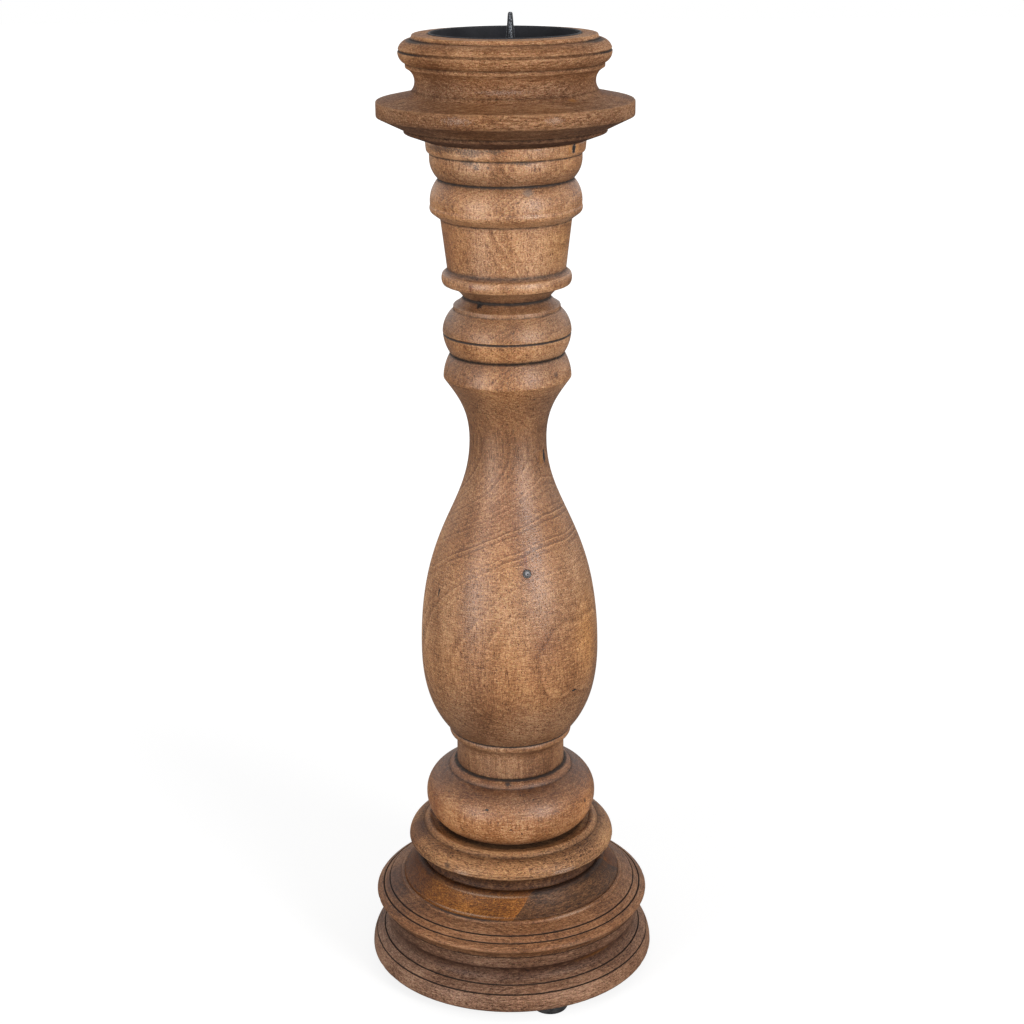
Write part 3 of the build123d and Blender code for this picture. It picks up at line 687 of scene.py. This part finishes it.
balusterLook = {
    "node": "baluster", "radius": 34.5, "segments": 256, "wobble": 0.2, "wobbleSize": 24.0, "nicks": 0.4,
    "seed": 17.0,
    "strokes": [("line", 34.5, 13.0), ("bow", 36.8, 6.6, -soft), ("line", 38.2, 0.6),
                ("bow", 39.1, 3.3, soft), ("line", 38.4, 1.0), ("line", 39.6, 1.0),
                ("sweep", 56.1, 53.5, 0.075, 26.0, 0.71, 0.0),
                ("sweep", 23.8, 138.0, 0.594, 0.0, 0.333, 0.0),
                ("sweep", 39.1, 39.0, 0.46, 0.0, 0.36, 36.0), ("line", 39.1, 1.0),
                ("bow", 34.7, 14.0, slight)],
    # dark joint and crease lines by height: dirt and painted shade
    "grimeAndShade": [(140.2, 1.0), (140.6, 0.8), (141.4, 0.0), (159.2, 0.0), (159.8, 0.5), (160.4, 0.4),
              (160.9, 0.0), (163.7, 0.0), (164.3, 0.7), (165.3, 0.7), (166.2, 0.0), (409.4, 0.0),
              (410.4, 1.0), (411.2, 1.0)],
    # stain and painted shade by height: undersides, hollows and faces under overhangs darker
    "stain": [(141, 0.7), (144, 0.55), (154, 0.4), (158, 0.6), (161, 0.3), (163, 0.3), (167, 0.6),
              (172, 0.5), (193, 0.42), (212, 0.15), (235, 0.08), (270, 0.1), (303, 0.22), (332, 0.3),
              (358, 0.6), (385, 0.45), (394, 0.2), (404, 0.28), (411, 0.6)],
    # baluster marks: a golden patch and painted light on the right, a painted sheen at the front, a dark
    # figure patch, the knot, pits, a glow and a smudge
    "marks": [(66.0, 235.0, 28.0, 48.0, "golden"), (64.0, 233.0, 24.0, 40.0, "paintedLitSide"),
              (0.0, 318.0, 34.0, 48.0, "paintedSheen"), (22.9, 239.0, 13.0, 16.0, "darkTintAndShade"),
              (13.4, 283.3, 5.5, 7.5, "halo"), (12.9, 291.0, 1.8, 8.0, "redStreak"),
              (14.0, 275.5, 0.7, 6.0, "redStreak"), (13.4, 283.3, 2.9, 2.9, "knotRing"),
              (13.4, 283.4, 1.5, 1.5, "knotHeart"), (14.0, 283.0, 0.6, 0.6, "pit"),
              (-57.0, 265.4, 0.9, 3.0, "pit"), (-76.0, 233.0, 1.2, 3.6, "pit"),
              (46.4, 203.2, 2.6, 0.7, "pit"), (56.0, 347.0, 3.2, 6.5, "glow"),
              (64.8, 347.3, 1.6, 5.4, "pit"), (49.3, 402.2, 2.4, 2.2, "smudgeAndShade")],
    "wood": dict(columnWood, mid=(0.37, 0.172, 0.077)),
}
capitalLook = {
    "node": "capital", "radius": 34.7, "segments": 256, "wobble": 0.2, "wobbleSize": 24.0, "nicks": 0.4,
    "seed": 19.0,
    "strokes": [("bow", 39.0, 11.8, slight), ("scribe", 1.3, 0.7, 1.0, 1.15), ("bow", 32.5, 14.0, soft),
                ("line", 32.5, 2.5), ("bow", 26.3, 5.0, -slight), ("bow", 38.3, 8.0, -soft),
                ("bow", 39.0, 5.2, soft), ("bow", 37.2, 2.0, quarter), ("line", 35.8, 2.0),
                ("line", 39.4, 30.1), ("line", 44.4, 3.7), ("bow", 45.2, 4.5, full),
                ("bow", 40.2, 15.5, soft), ("bow", 45.3, 13.0, soft), ("line", 45.3, 2.3),
                ("bow", 47.2, 2.2, full), ("line", 47.7, 5.5)],
    # dark joint and crease lines by height: dirt and painted shade
    "grimeAndShade": [(411.2, 1.0), (412.0, 0.7), (413.0, 0.0)],
    # stain and painted shade by height: undersides, hollows and faces under overhangs darker
    "stain": [(411, 0.3), (416, 0.0), (421, 0.0), (427, 0.35), (436, 0.5), (439, 0.3), (442, 0.6),
              (447, 0.7), (451, 0.4), (454, 0.0), (460.2, 0.0), (461.3, 1.0), (462.6, 1.0), (464.0, 0.1),
              (475, 0.0), (490, 0.0), (505, 0.0), (512, 0.1), (517, 0.6), (520, 0.5), (524, 0.2),
              (528, 0.0), (532, 0.0), (536, 0.0), (539, 0.1), (541.6, 0.25)],
    # capital marks: glows and a pit by the gouge, smudges with painted shade under the flange, painted shade
    # on the left, a painted highlight line, pits, streaks and a golden patch
    "marks": [(51.5, 537.0, 2.4, 4.0, "glow"), (60.0, 537.0, 2.0, 4.0, "glow"),
              (55.9, 537.0, 2.2, 3.8, "pit"), (-59.0, 537.4, 10.0, 3.0, "smudgeAndShade"),
              (-44.0, 538.0, 9.0, 2.8, "smudgeAndShade"), (-27.0, 537.2, 10.0, 3.2, "smudgeAndShade"),
              (-8.0, 538.4, 8.0, 2.0, "smudgeAndShade"), (-72.0, 480.0, 24.0, 26.0, "darkTintAndShade"),
              (12.0, 517.6, 15.0, 0.5, "paintedHighlightLine"), (-28.4, 531.4, 5.0, 3.0, "smudgeAndShade"),
              (-22.0, 529.0, 2.5, 2.6, "smudgeAndShade"), (-12.9, 528.6, 1.3, 1.3, "smudgeAndShade"),
              (10.2, 531.3, 6.0, 2.0, "smudgeAndShade"), (16.5, 530.4, 2.6, 1.6, "smudgeAndShade"),
              (17.2, 513.6, 4.5, 3.0, "greySmear"), (-36.0, 444.5, 2.2, 2.8, "pit"),
              (-32.8, 456.5, 2.2, 4.8, "redStreak"), (64.0, 480.0, 22.0, 24.0, "golden")],
    "wood": dict(columnWood, sanding=0.9),
}
cupLook = {
    "node": "candle_cup", "radius": 48.5, "segments": 272, "wobble": 0.2, "wobbleSize": 26.0, "nicks": 0.5,
    "seed": 23.0,
    "strokes": [("line", 60.0, 4.2), ("line", 60.0, 2.5), ("line", 61.4, 0.0), ("line", 75.4, 6.8),
                ("bow", 76.0, 0.6, quarter), ("line", 76.0, 7.7), ("bow", 75.4, 0.6, quarter),
                ("line", 56.8, 3.9), ("bow", 58.3, 15.1, -deep), ("line", 58.3, 2.5),
                ("bow", 62.4, 7.0, full), ("scribe", 0.9, 0.7, 0.7, 1.9), ("bow", 55.0, 5.6, full),
                ("line", 54.2, 2.1), ("bow", 53.5, 0.7, quarter), ("line", 45.0, 0.2)],
    # dark joint and crease lines by height: dirt and painted shade
    "grimeAndShade": [(566.9, 0.0), (567.7, 0.6), (568.2, 0.6), (569.0, 0.0)],
    # stain and painted shade by height: undersides, hollows and faces under overhangs darker
    "stain": [(541.6, 1.0), (545.6, 0.8), (546.4, 0.5), (548.5, 0.7), (554, 0.7), (555.5, 0.45),
              (557, 0.4), (562.6, 0.4), (564.2, 0.3), (568, 0.35), (570, 0.3), (575, 0.3), (585, 0.2),
              (592, 0.1), (595.6, 0.2), (596.6, 0.25), (597.2, 0.0)],
    # cup marks: painted highlights on the flange edge and the cove, a glow, a dark patch, a pit, and
    # near-black lines with painted shade in the rim's quirk and scribe
    "marks": [(-20.6, 558.0, 11.0, 3.0, "rubbedAndSheen"), (21.0, 558.0, 7.0, 3.0, "rubbedAndSheen"),
              (-2.0, 571.5, 20.0, 1.8, "rubbedAndSheen"), (41.3, 565.7, 4.5, 1.6, "glow"),
              (38.0, 567.5, 6.0, 2.0, "darkTintAndShade"), (-62.4, 563.7, 0.9, 0.9, "pit"),
              (-70.0, 597.0, 30.0, 1.3, "grimyAndShaded"), (-68.0, 590.6, 32.0, 0.9, "grimyAndShaded"),
              (72.0, 597.0, 26.0, 1.2, "grimyAndShaded"), (72.0, 590.6, 26.0, 0.9, "grimyAndShaded")],
    "wood": dict(columnWood, mid=(0.305, 0.140, 0.062), pale=(0.62, 0.36, 0.20), pith=(20.0, 30.0, 505.0),
                 grainTurn=(0.0, 90.0, 15.0), ringGap=2.6, rings=0.14, fibre=1.0, cleftDirtAndShade=0.6,
                 speckle=2.0, dashes=1.6, pores=0.6, roughness=0.62, specular=0.2),
}
dowelLook = {"dowelHole": 10.1, "footDowelHole": 12.6, "endGap": 1.5}
recessLook = {"radius": 45.0, "pocket": 12.2, "tailGap": 2.0}


def outlineRadius(look):
    points, _ = drawOutline(look["foot"], look["strokes"])
    return lambda height: float(points[np.argmin(np.abs(points[:, 1] - height)), 0])


def turnWood(look, below, above):
    foot = levels(look["node"])[0]
    look["foot"] = (look["radius"], foot)
    look["finish"] = turnedWood(look["node"] + "_wood", look["wood"], look["marks"], outlineRadius(look))
    return turnPiece(look["node"] + "_turned", look, look["finish"], below, above)


def boreBelow(foot, radius, depth):
    return [(0.0, foot + depth), (radius, foot + depth), (radius, foot)]


def boreAbove(top, radius, depth):
    return [(radius, top), (radius, top - depth), (0.0, top - depth)]


dowelTop = {name: levels(name)[1] + dowelLook["endGap"] for name in ("cup_dowel", "shaft_dowel",
                                                                     "foot_dowel")}
dowelFoot = {name: levels(name)[0] - dowelLook["endGap"] for name in dowelTop}
thin, thick = dowelLook["dowelHole"], dowelLook["footDowelHole"]

plinthFoot, plinthTop = levels("plinth")
plinth = turnWood(plinthLook, [(0.0, plinthFoot)], [(0.0, plinthTop)])
tierFoot, tierTop = levels("base_tier")
tier = turnWood(tierLook, [(0.0, tierFoot)], [(0.0, tierTop)])
blockFoot, blockTop = levels("block_middle_board")
block = turnWood(blockLook, [(0.0, blockFoot)],
                 boreAbove(blockTop, thick, blockTop - dowelFoot["foot_dowel"]))
bunFoot, bunTop = levels("bun")
stepRing = turnWood(stepLook, [(thick, bunFoot), (thick, blockTop)], [(thick, bunFoot)])
bun = turnWood(bunLook, [(thick, bunTop), (thick, bunFoot)], [(thick, bunTop)])
balusterFoot, balusterTop = levels("baluster")
baluster = turnWood(balusterLook, boreBelow(balusterFoot, thick, dowelTop["foot_dowel"] - balusterFoot),
                    boreAbove(balusterTop, thin, balusterTop - dowelFoot["shaft_dowel"]))
capitalFoot, capitalTop = levels("capital")
capital = turnWood(capitalLook, boreBelow(capitalFoot, thin, dowelTop["shaft_dowel"] - capitalFoot),
                   boreAbove(capitalTop, thin, capitalTop - dowelFoot["cup_dowel"]))
cupFoot, cupTop = levels("candle_cup")
recessFloor = levels("drip_pan")[0]
pocketFloor = levels("pricket_spike")[0] - recessLook["tailGap"]
cup = turnWood(cupLook, boreBelow(cupFoot, thin, dowelTop["cup_dowel"] - cupFoot),
               [(recessLook["radius"], recessFloor), (recessLook["pocket"], recessFloor),
                (recessLook["pocket"], pocketFloor), (0.0, pocketFloor)])

for piece, look in ((plinth, plinthLook), (tier, tierLook), (stepRing, stepLook)):
    finishPiece(piece, "stand", [look["node"]])
for piece, look in ((bun, bunLook), (baluster, balusterLook), (capital, capitalLook), (cup, cupLook)):
    finishPiece(piece, "stand", [look["node"]])


# The block is turned in one and then parted at its two glue seams

seams = {"angle": -46.2, "offset": 51.65}
sideWoods = {
    # right board: darker wood; the greyish bare colour on its arrises is wear and painted sheen
    "block_right_board": dict(blockLook["wood"], deep=(0.025, 0.009, 0.003), mid=(0.088, 0.037, 0.014),
                              pale=(0.23, 0.11, 0.05), bare=(0.24, 0.19, 0.18), specular=0.2,
                              pith=(30.0, -20.0, 40.0)),
    "block_left_board": dict(blockLook["wood"], mid=(0.15, 0.06, 0.018), pith=(-30.0, 30.0, 50.0)),
}


def sawBoard(turned, node, cuts):  # each cut: the seam's side, 1 or -1, and whether the outer part is kept
    shape = bmesh.new()
    shape.from_mesh(turned.data)
    angle = math.radians(seams["angle"])
    for side, keepOuter in cuts:
        out = Vector((math.cos(angle), math.sin(angle), 0)) * side
        place = out * seams["offset"] * mm
        geometry = shape.verts[:] + shape.edges[:] + shape.faces[:]
        cut = bmesh.ops.bisect_plane(shape, geom=geometry, plane_co=place, plane_no=out,
                                     clear_inner=keepOuter, clear_outer=not keepOuter)
        edges = [e for e in cut["geom_cut"] if isinstance(e, bmesh.types.BMEdge)]
        for edge in edges:
            edge.smooth = False
        bmesh.ops.holes_fill(shape, edges=edges, sides=0)
    bmesh.ops.recalc_face_normals(shape, faces=shape.faces)
    mesh = bpy.data.meshes.new(node + "_turned")
    shape.to_mesh(mesh)
    shape.free()
    finish = blockLook["finish"]
    if node in sideWoods:
        finish = turnedWood(node + "_wood", sideWoods[node], blockLook["marks"], outlineRadius(blockLook))
    mesh.materials.clear()
    mesh.materials.append(finish)
    board = bpy.data.objects.new(node + "_turned", mesh)
    scene.collection.objects.link(board)
    finishPiece(board, "stand", [node])
    print(node, "sawn,", len(mesh.polygons), "faces")


sawBoard(block, "block_middle_board", [(1, False), (-1, False)])
sawBoard(block, "block_right_board", [(1, True)])
sawBoard(block, "block_left_board", [(-1, True)])
bpy.data.objects.remove(block)


# Iron, zinc, rubber and bare dowel wood

def blackIron(name, iron):
    material, start = newMaterial(name)
    here = inMillimetres(start)
    arris = start.node("ShaderNodeAttribute", {"attribute_name": "arris"}, out="Fac")
    grit = here.noise(iron["grit"], 3.0, 0.65)
    dust = here.noise(0.09, 2.0)
    tone = (grit - 0.5) * 1.2 + (dust - 0.5) * 0.8 + 0.5
    colour = start.node("ShaderNodeValToRGB", {"stops": [(0.0, iron["dark"]), (1.0, iron["light"])]},
                        {0: tone})
    rubbedAndSheen = arris * grit.step(0.45, 0.7) * iron["rubbedAndSheen"]
    if iron["burnished"]:  # four hammered faces, bright on their high spots
        side = here.vector("SUBTRACT", here, iron["axis"]).scaled((1, 1, 0))
        side = side.vector("ABSOLUTE", side.vector("NORMALIZE", side))
        east, north = (side.node("ShaderNodeSeparateXYZ", None, {0: side}, n) for n in ("X", "Y"))
        face = east.math("MAXIMUM", east, north).step(0.80, 0.97)
        rubbedAndSheen = rubbedAndSheen.math("MAXIMUM", rubbedAndSheen, face * grit.step(0.44, 0.62) * iron["burnished"])
    colour = rubbedAndSheen.mix(colour, (*iron["bare"], 1.0))
    rough = iron["roughness"] + (grit - 0.5) * 0.3 - rubbedAndSheen * 0.15
    relief = grit + here.noise(iron["grit"] * 0.3, 1.0) * 0.8
    bump = relief.node("ShaderNodeBump", None,
                       {"Strength": iron["bump"], "Distance": 0.12 * mm, "Height": relief})
    return endMaterial(material, {"Base Color": colour, "Roughness": rough, "Normal": bump,
                                  "Metallic": rubbedAndSheen * 0.8,
                                  "Specular IOR Level": iron["specular"]})


def dullZinc(name):
    material, start = newMaterial(name)
    here = inMillimetres(start)
    bloom = here.noise(0.6, 3.0, 0.6)
    stops = [(0.3, (0.38, 0.39, 0.39)), (0.7, (0.62, 0.62, 0.60))]
    colour = start.node("ShaderNodeValToRGB", {"stops": stops}, {0: bloom})
    scratch = here.scaled((0.4, 0.4, 4.0)).noise(1.5, 2.0)
    rough = 0.32 + bloom * 0.25
    bump = scratch.node("ShaderNodeBump", None,
                        {"Strength": 0.25, "Distance": 0.05 * mm, "Height": scratch})
    return endMaterial(material, {"Base Color": colour, "Roughness": rough, "Normal": bump,
                                  "Metallic": 1.0})


def blackRubber(name):
    material, start = newMaterial(name)
    here = inMillimetres(start)
    bloom = here.noise(0.35, 3.0, 0.6)
    stops = [(0.35, (0.012, 0.012, 0.013)), (0.75, (0.045, 0.043, 0.042))]
    colour = start.node("ShaderNodeValToRGB", {"stops": stops}, {0: bloom})
    grain = here.noise(3.0, 2.0)
    bump = grain.node("ShaderNodeBump", None, {"Strength": 0.3, "Distance": 0.05 * mm, "Height": grain})
    return endMaterial(material, {"Base Color": colour, "Roughness": 0.28 + bloom * 0.25, "Normal": bump})


def dowelWood(name):
    material, start = newMaterial(name)
    here = inMillimetres(start)
    fibre = here.scaled((1, 1, 0.04)).noise(1.4, 3.0, 0.6)
    stops = [(0.3, (0.50, 0.34, 0.19)), (0.7, (0.72, 0.55, 0.36))]
    colour = start.node("ShaderNodeValToRGB", {"stops": stops}, {0: fibre})
    bump = fibre.node("ShaderNodeBump", None, {"Strength": 0.4, "Distance": 0.06 * mm, "Height": fibre})
    return endMaterial(material, {"Base Color": colour, "Roughness": 0.62 + fibre * 0.2, "Normal": bump})


zinc = dullZinc("dull_zinc")
bareDowel = dowelWood("bare_dowel")
for node, finish in (("cup_dowel", bareDowel), ("shaft_dowel", bareDowel), ("foot_dowel", bareDowel),
                     ("spike_washer", zinc), ("spike_nut", zinc)):
    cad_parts[node].data.materials.clear()
    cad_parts[node].data.materials.append(finish)


# Drip pan and spike

panLook = {
    "wall": 1.2, "corner": 4.0, "tailHole": 2.7, "segments": 192, "wobble": 0.12, "wobbleSize": 18.0,
    "nicks": 0.1, "seed": 29.0,
    "iron": {"dark": (0.007, 0.008, 0.010), "light": (0.040, 0.040, 0.048), "bare": (0.20, 0.19, 0.18),
             "rubbedAndSheen": 0.3, "grit": 2.6, "roughness": 0.6, "bump": 0.5, "specular": 0.2, "burnished": 0.0},
}
spikeLook = {
    "tail": 2.5, "collar": 6.0, "collarHeight": 1.8, "foot": 3.1, "tip": 1.35, "tipRound": 0.5,
    "segments": 64, "wobble": 0.3, "wobbleSize": 2.2, "nicks": 0.15, "seed": 31.0,
    "iron": {"dark": (0.004, 0.004, 0.005), "light": (0.026, 0.027, 0.032), "bare": (0.34, 0.36, 0.40),
             "rubbedAndSheen": 0.4, "grit": 1.6, "roughness": 0.45, "bump": 0.9, "specular": 0.15,
             "burnished": 0.6},
}


def makePan(look):
    foot, top = levels("drip_pan")
    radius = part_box("drip_pan")[1].x / mm
    wall, corner = look["wall"], look["corner"]
    inner = corner - wall
    rise = top - foot - corner - wall / 2
    strokes = [("bow", radius, corner, quarter), ("line", radius, rise), ("bow", radius - wall, 0.0, 0.5),
               ("line", radius - wall, -rise), ("bow", radius - corner, -inner, -quarter),
               ("line", spikeLook["collar"] * 0.8, 0.0)]
    outline = dict(look, foot=(radius - corner, foot), strokes=strokes)
    pan = turnPiece("drip_pan_pressed", outline, blackIron("pan_iron", look["iron"]), [(0.0, foot)],
                    [(0.0, foot + wall)])
    cutAway(pan, rods("tail_hole", [spikeAxis()], look["tailHole"], foot - wall, foot + 2 * wall))
    finishPiece(pan, "pan", ["drip_pan"])


def makeSpike(look):
    foot, tip = levels("pricket_spike")
    seat = levels("drip_pan")[0] + panLook["wall"]
    taper = tip - seat - look["collarHeight"] - look["tipRound"]
    strokes = [("line", look["tail"], seat - foot), ("line", look["collar"], 0.0),
               ("bow", look["collar"] - 0.6, look["collarHeight"], soft), ("line", look["foot"] + 0.5, 0.0),
               ("bow", look["foot"], 1.2, -quarter), ("line", look["tip"], taper - 1.2),
               ("bow", 0.0, look["tipRound"], quarter)]
    outline = dict(look, foot=(look["tail"], foot), strokes=strokes)
    axis = spikeAxis()
    iron = dict(look["iron"], axis=tuple(axis / mm))
    spike = turnPiece("spike_forged", outline, blackIron("spike_iron", iron), [(0.0, foot)], [])
    spike.data.transform(Matrix.Translation(axis))
    finishPiece(spike, "pan", ["pricket_spike"])


def spikeAxis():
    low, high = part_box("pricket_spike")
    return Vector(((low.x + high.x) / 2, (low.y + high.y) / 2, 0.0))


def rods(name, places, radius, low, high, sides=64):  # plain cylinders to cut with
    shape = bmesh.new()
    for place in places:
        centre = Matrix.Translation((place.x, place.y, (low + high) / 2 * mm))
        bmesh.ops.create_cone(shape, cap_ends=True, segments=sides, radius1=radius * mm,
                              radius2=radius * mm,
                              depth=(high - low) * mm, matrix=centre)
    mesh = bpy.data.meshes.new(name)
    shape.to_mesh(mesh)
    shape.free()
    return mesh


def cutAway(piece, cutterMesh):
    cutter = bpy.data.objects.new("cutter", cutterMesh)
    scene.collection.objects.link(cutter)
    modifier = piece.modifiers.new("cut", "BOOLEAN")
    modifier.operation = "DIFFERENCE"
    modifier.solver = "EXACT"
    modifier.object = cutter
    settle(piece)
    bpy.data.objects.remove(cutter)


makePan(panLook)
makeSpike(spikeLook)


# Feet and screws, set round the base

def ringPlace(node):
    low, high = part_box(node)
    middle = (low + high) / 2
    return math.hypot(middle.x, middle.y), math.atan2(middle.y, middle.x)


footLook = {"count": 4, "round": 1.6, "recess": 4.6, "hole": 1.95, "segments": 72, "wobble": 0.08,
            "wobbleSize": 9.0, "nicks": 0.0, "seed": 37.0}
footScrewLook = {"radius": 1.75, "head": 3.6, "headHeight": 2.2, "point": 3.0, "pitch": 1.3, "slot": 0.9,
                 "slotDepth": 1.0, "segments": 40, "wobble": 0.0, "wobbleSize": 9.0, "nicks": 0.0,
                 "seed": 41.0}
baseScrewLook = dict(footScrewLook, radius=2.5, head=4.8, headHeight=3.2, point=6.0, pitch=2.0, slot=1.1,
                     slotDepth=1.4)
counterbore = {"radius": 7.0, "firstAngle": 4.5, "pitchRadius": 34.0, "count": 4}


def setRound(name, single, nodes, count, pitchRadius, firstAngle, spin, material):
    values = {"Count": count, "Pitch Radius": pitchRadius, "First Angle": firstAngle, "Spin": spin,
              "Seed": 5,
              "Material": material}
    ring = runTree(ringTree, name, single.data, values)
    bpy.data.objects.remove(single)
    finishPiece(ring, "stand", nodes)
    print(name, "set round the base,", count, "of them")


def makeFeet(look):
    foot, top = levels("rubber_foot_1")
    low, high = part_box("rubber_foot_1")
    radius = (high.x - low.x) / 2 / mm
    seat = levels("foot_screws")[0] + footScrewLook["headHeight"]
    strokes = [("bow", radius, look["round"], quarter), ("line", radius - 0.4, top - foot - look["round"])]
    outline = dict(look, foot=(radius - look["round"], foot), strokes=strokes)
    rubber = blackRubber("black_rubber")
    single = turnPiece("foot_moulded", outline, rubber,
                       [(look["hole"], top), (look["hole"], seat), (look["recess"], seat),
                        (look["recess"], foot)],
                       [(look["hole"], top)])
    pitchRadius, firstAngle = ringPlace("rubber_foot_1")
    nodes = [f"rubber_foot_{i + 1}" for i in range(look["count"])]
    setRound("rubber_feet", single, nodes, look["count"], pitchRadius, firstAngle, 0.0,
             rubber)


def makeScrews(name, node, look, count, pitchRadius, firstAngle):
    foot, tip = levels(node)
    seat = foot + look["headHeight"]
    crests = int((tip - look["point"] - seat) / look["pitch"])
    thread = []
    for i in range(crests):
        thread += [("line", look["radius"], look["pitch"] / 2),
                   ("line", look["radius"] * 0.72, look["pitch"] / 2)]
    left = tip - seat - crests * look["pitch"]
    strokes = [("bow", look["head"], look["headHeight"] * 0.8, soft),
               ("line", look["head"], look["headHeight"] * 0.2),
               ("line", look["radius"] * 0.72, 0.0), *thread, ("line", 0.0, left)]
    outline = dict(look, foot=(look["head"] * 0.7, foot), strokes=strokes)
    single = turnPiece(name + "_single", outline, zinc, [(0.0, foot)], [])
    cutSlot(single, look, foot)
    setRound(name, single, [node], count, pitchRadius, firstAngle, math.pi, zinc)


def cutSlot(screw, look, foot):
    bar = bpy.data.meshes.new("slot_cutter")
    shape = bmesh.new()
    size = Matrix.Diagonal((look["head"] * 2.4 * mm, look["slot"] * mm, look["slotDepth"] * 2 * mm, 1))
    bmesh.ops.create_cube(shape, size=1.0, matrix=Matrix.Translation((0, 0, foot * mm)) @ size)
    shape.to_mesh(bar)
    shape.free()
    cutAway(screw, bar)


def cutCounterbores(look):
    seat = levels("base_screws")[0] + baseScrewLook["headHeight"]
    angles = [math.radians(look["firstAngle"] + 360 / look["count"] * i) for i in range(look["count"])]
    places = [Vector((math.cos(a), math.sin(a), 0)) * look["pitchRadius"] * mm for a in angles]
    cutAway(plinth, rods("counterbores", places, look["radius"], 2 * plinthFoot - seat, seat))
    print("counterbores cut,", len(plinth.data.polygons), "faces in the plinth")


makeFeet(footLook)
footPitch, footAngle = ringPlace("rubber_foot_1")
makeScrews("foot_screws_set", "foot_screws", footScrewLook, footLook["count"], footPitch, footAngle)
makeScrews("base_screws_set", "base_screws", baseScrewLook, counterbore["count"],
           counterbore["pitchRadius"] * mm,
           math.radians(counterbore["firstAngle"]))
cutCounterbores(counterbore)


# Camera, floor and light

photoView = {"place": (0.0, -1.1652, 0.6943), "pitch": 18.35, "yaw": -0.105, "roll": -0.42, "lens": 69.05,
             "sensor": 36.0}


def addCamera(look):
    data = bpy.data.cameras.new("photoCamera")
    data.lens = look["lens"]
    data.sensor_width = look["sensor"]
    eye = bpy.data.objects.new("photoCamera", data)
    scene.collection.objects.link(eye)
    pitch, yaw, roll = (math.radians(look[name]) for name in ("pitch", "yaw", "roll"))
    turn = Matrix.Rotation(yaw, 4, "Z") @ Matrix.Rotation(math.pi / 2 - pitch, 4,
                                                          "X") @ Matrix.Rotation(roll, 4, "Z")
    eye.matrix_world = Matrix.Translation(look["place"]) @ turn
    scene.camera = eye


studio = {
    "softboxes": {"left_softbox": {"place": (-1.45, -1.45, 0.40), "size": (0.6, 1.2), "power": 25.0},
                  "right_softbox": {"place": (1.35, -1.55, 0.80), "size": (0.6, 1.2), "power": 31.0}},
    "aim": (0.0, 0.0, 0.3), "skyStrength": 0.5,
    "floorColour": 0.3, "floorLift": (0.80, 1.0), "floorFade": (0.25, 1.3), "floorHalf": 8.0,
}


def addLight(name, place, aim, size, power):
    data = bpy.data.lights.new(name, "AREA")
    data.shape = "RECTANGLE"
    data.size, data.size_y = size
    data.energy = power
    lamp = bpy.data.objects.new(name, data)
    lamp.location = place
    lamp.rotation_euler = (Vector(aim) - Vector(place)).to_track_quat("-Z", "Y").to_euler()
    scene.collection.objects.link(lamp)


def addStage(look):
    half = look["floorHalf"]
    mesh = bpy.data.meshes.new("floor")
    mesh.from_pydata([(-half, -half, 0), (half, -half, 0), (half, half, 0), (-half, half, 0)], [],
                     [(0, 1, 2, 3)])
    floor = bpy.data.objects.new("floor", mesh)
    scene.collection.objects.link(floor)
    material, start = newMaterial("pale_floor")
    seen = start.node("ShaderNodeLightPath", out="Is Camera Ray")
    place = start.node("ShaderNodeTexCoord", out="Object")
    far = place.vector("LENGTH", place, out="Value").step(*look["floorFade"])
    near, wide = look["floorLift"]
    lift = seen * (near + far * (wide - near))
    endMaterial(material, {"Base Color": (look["floorColour"],) * 3 + (1,), "Roughness": 0.9,
                           "Emission Color": lift, "Emission Strength": 1.0, "Specular IOR Level": 0.0})
    mesh.materials.append(material)
    world = bpy.data.worlds.new("soft_room")
    world.use_nodes = True
    scene.world = world
    tree = world.node_tree
    tree.nodes.clear()
    rays = [Wire(tree).node("ShaderNodeLightPath", out=n) for n in
            ("Is Camera Ray", "Is Glossy Ray", "Is Transmission Ray")]
    shown = rays[0].math("MAXIMUM", rays[0].math("MAXIMUM", rays[0], rays[1]), rays[2])
    strength = look["skyStrength"] + shown * (1 - look["skyStrength"])
    sky = Wire(tree).node("ShaderNodeBackground", None, {"Color": (1, 1, 1, 1), "Strength": strength})
    tree.links.new(sky.socket, tree.nodes.new("ShaderNodeOutputWorld").inputs[0])
    for name, box in look["softboxes"].items():
        addLight(name, box["place"], look["aim"], box["size"], box["power"])


addCamera(photoView)
addStage(studio)
scene.view_settings.view_transform = "Standard"
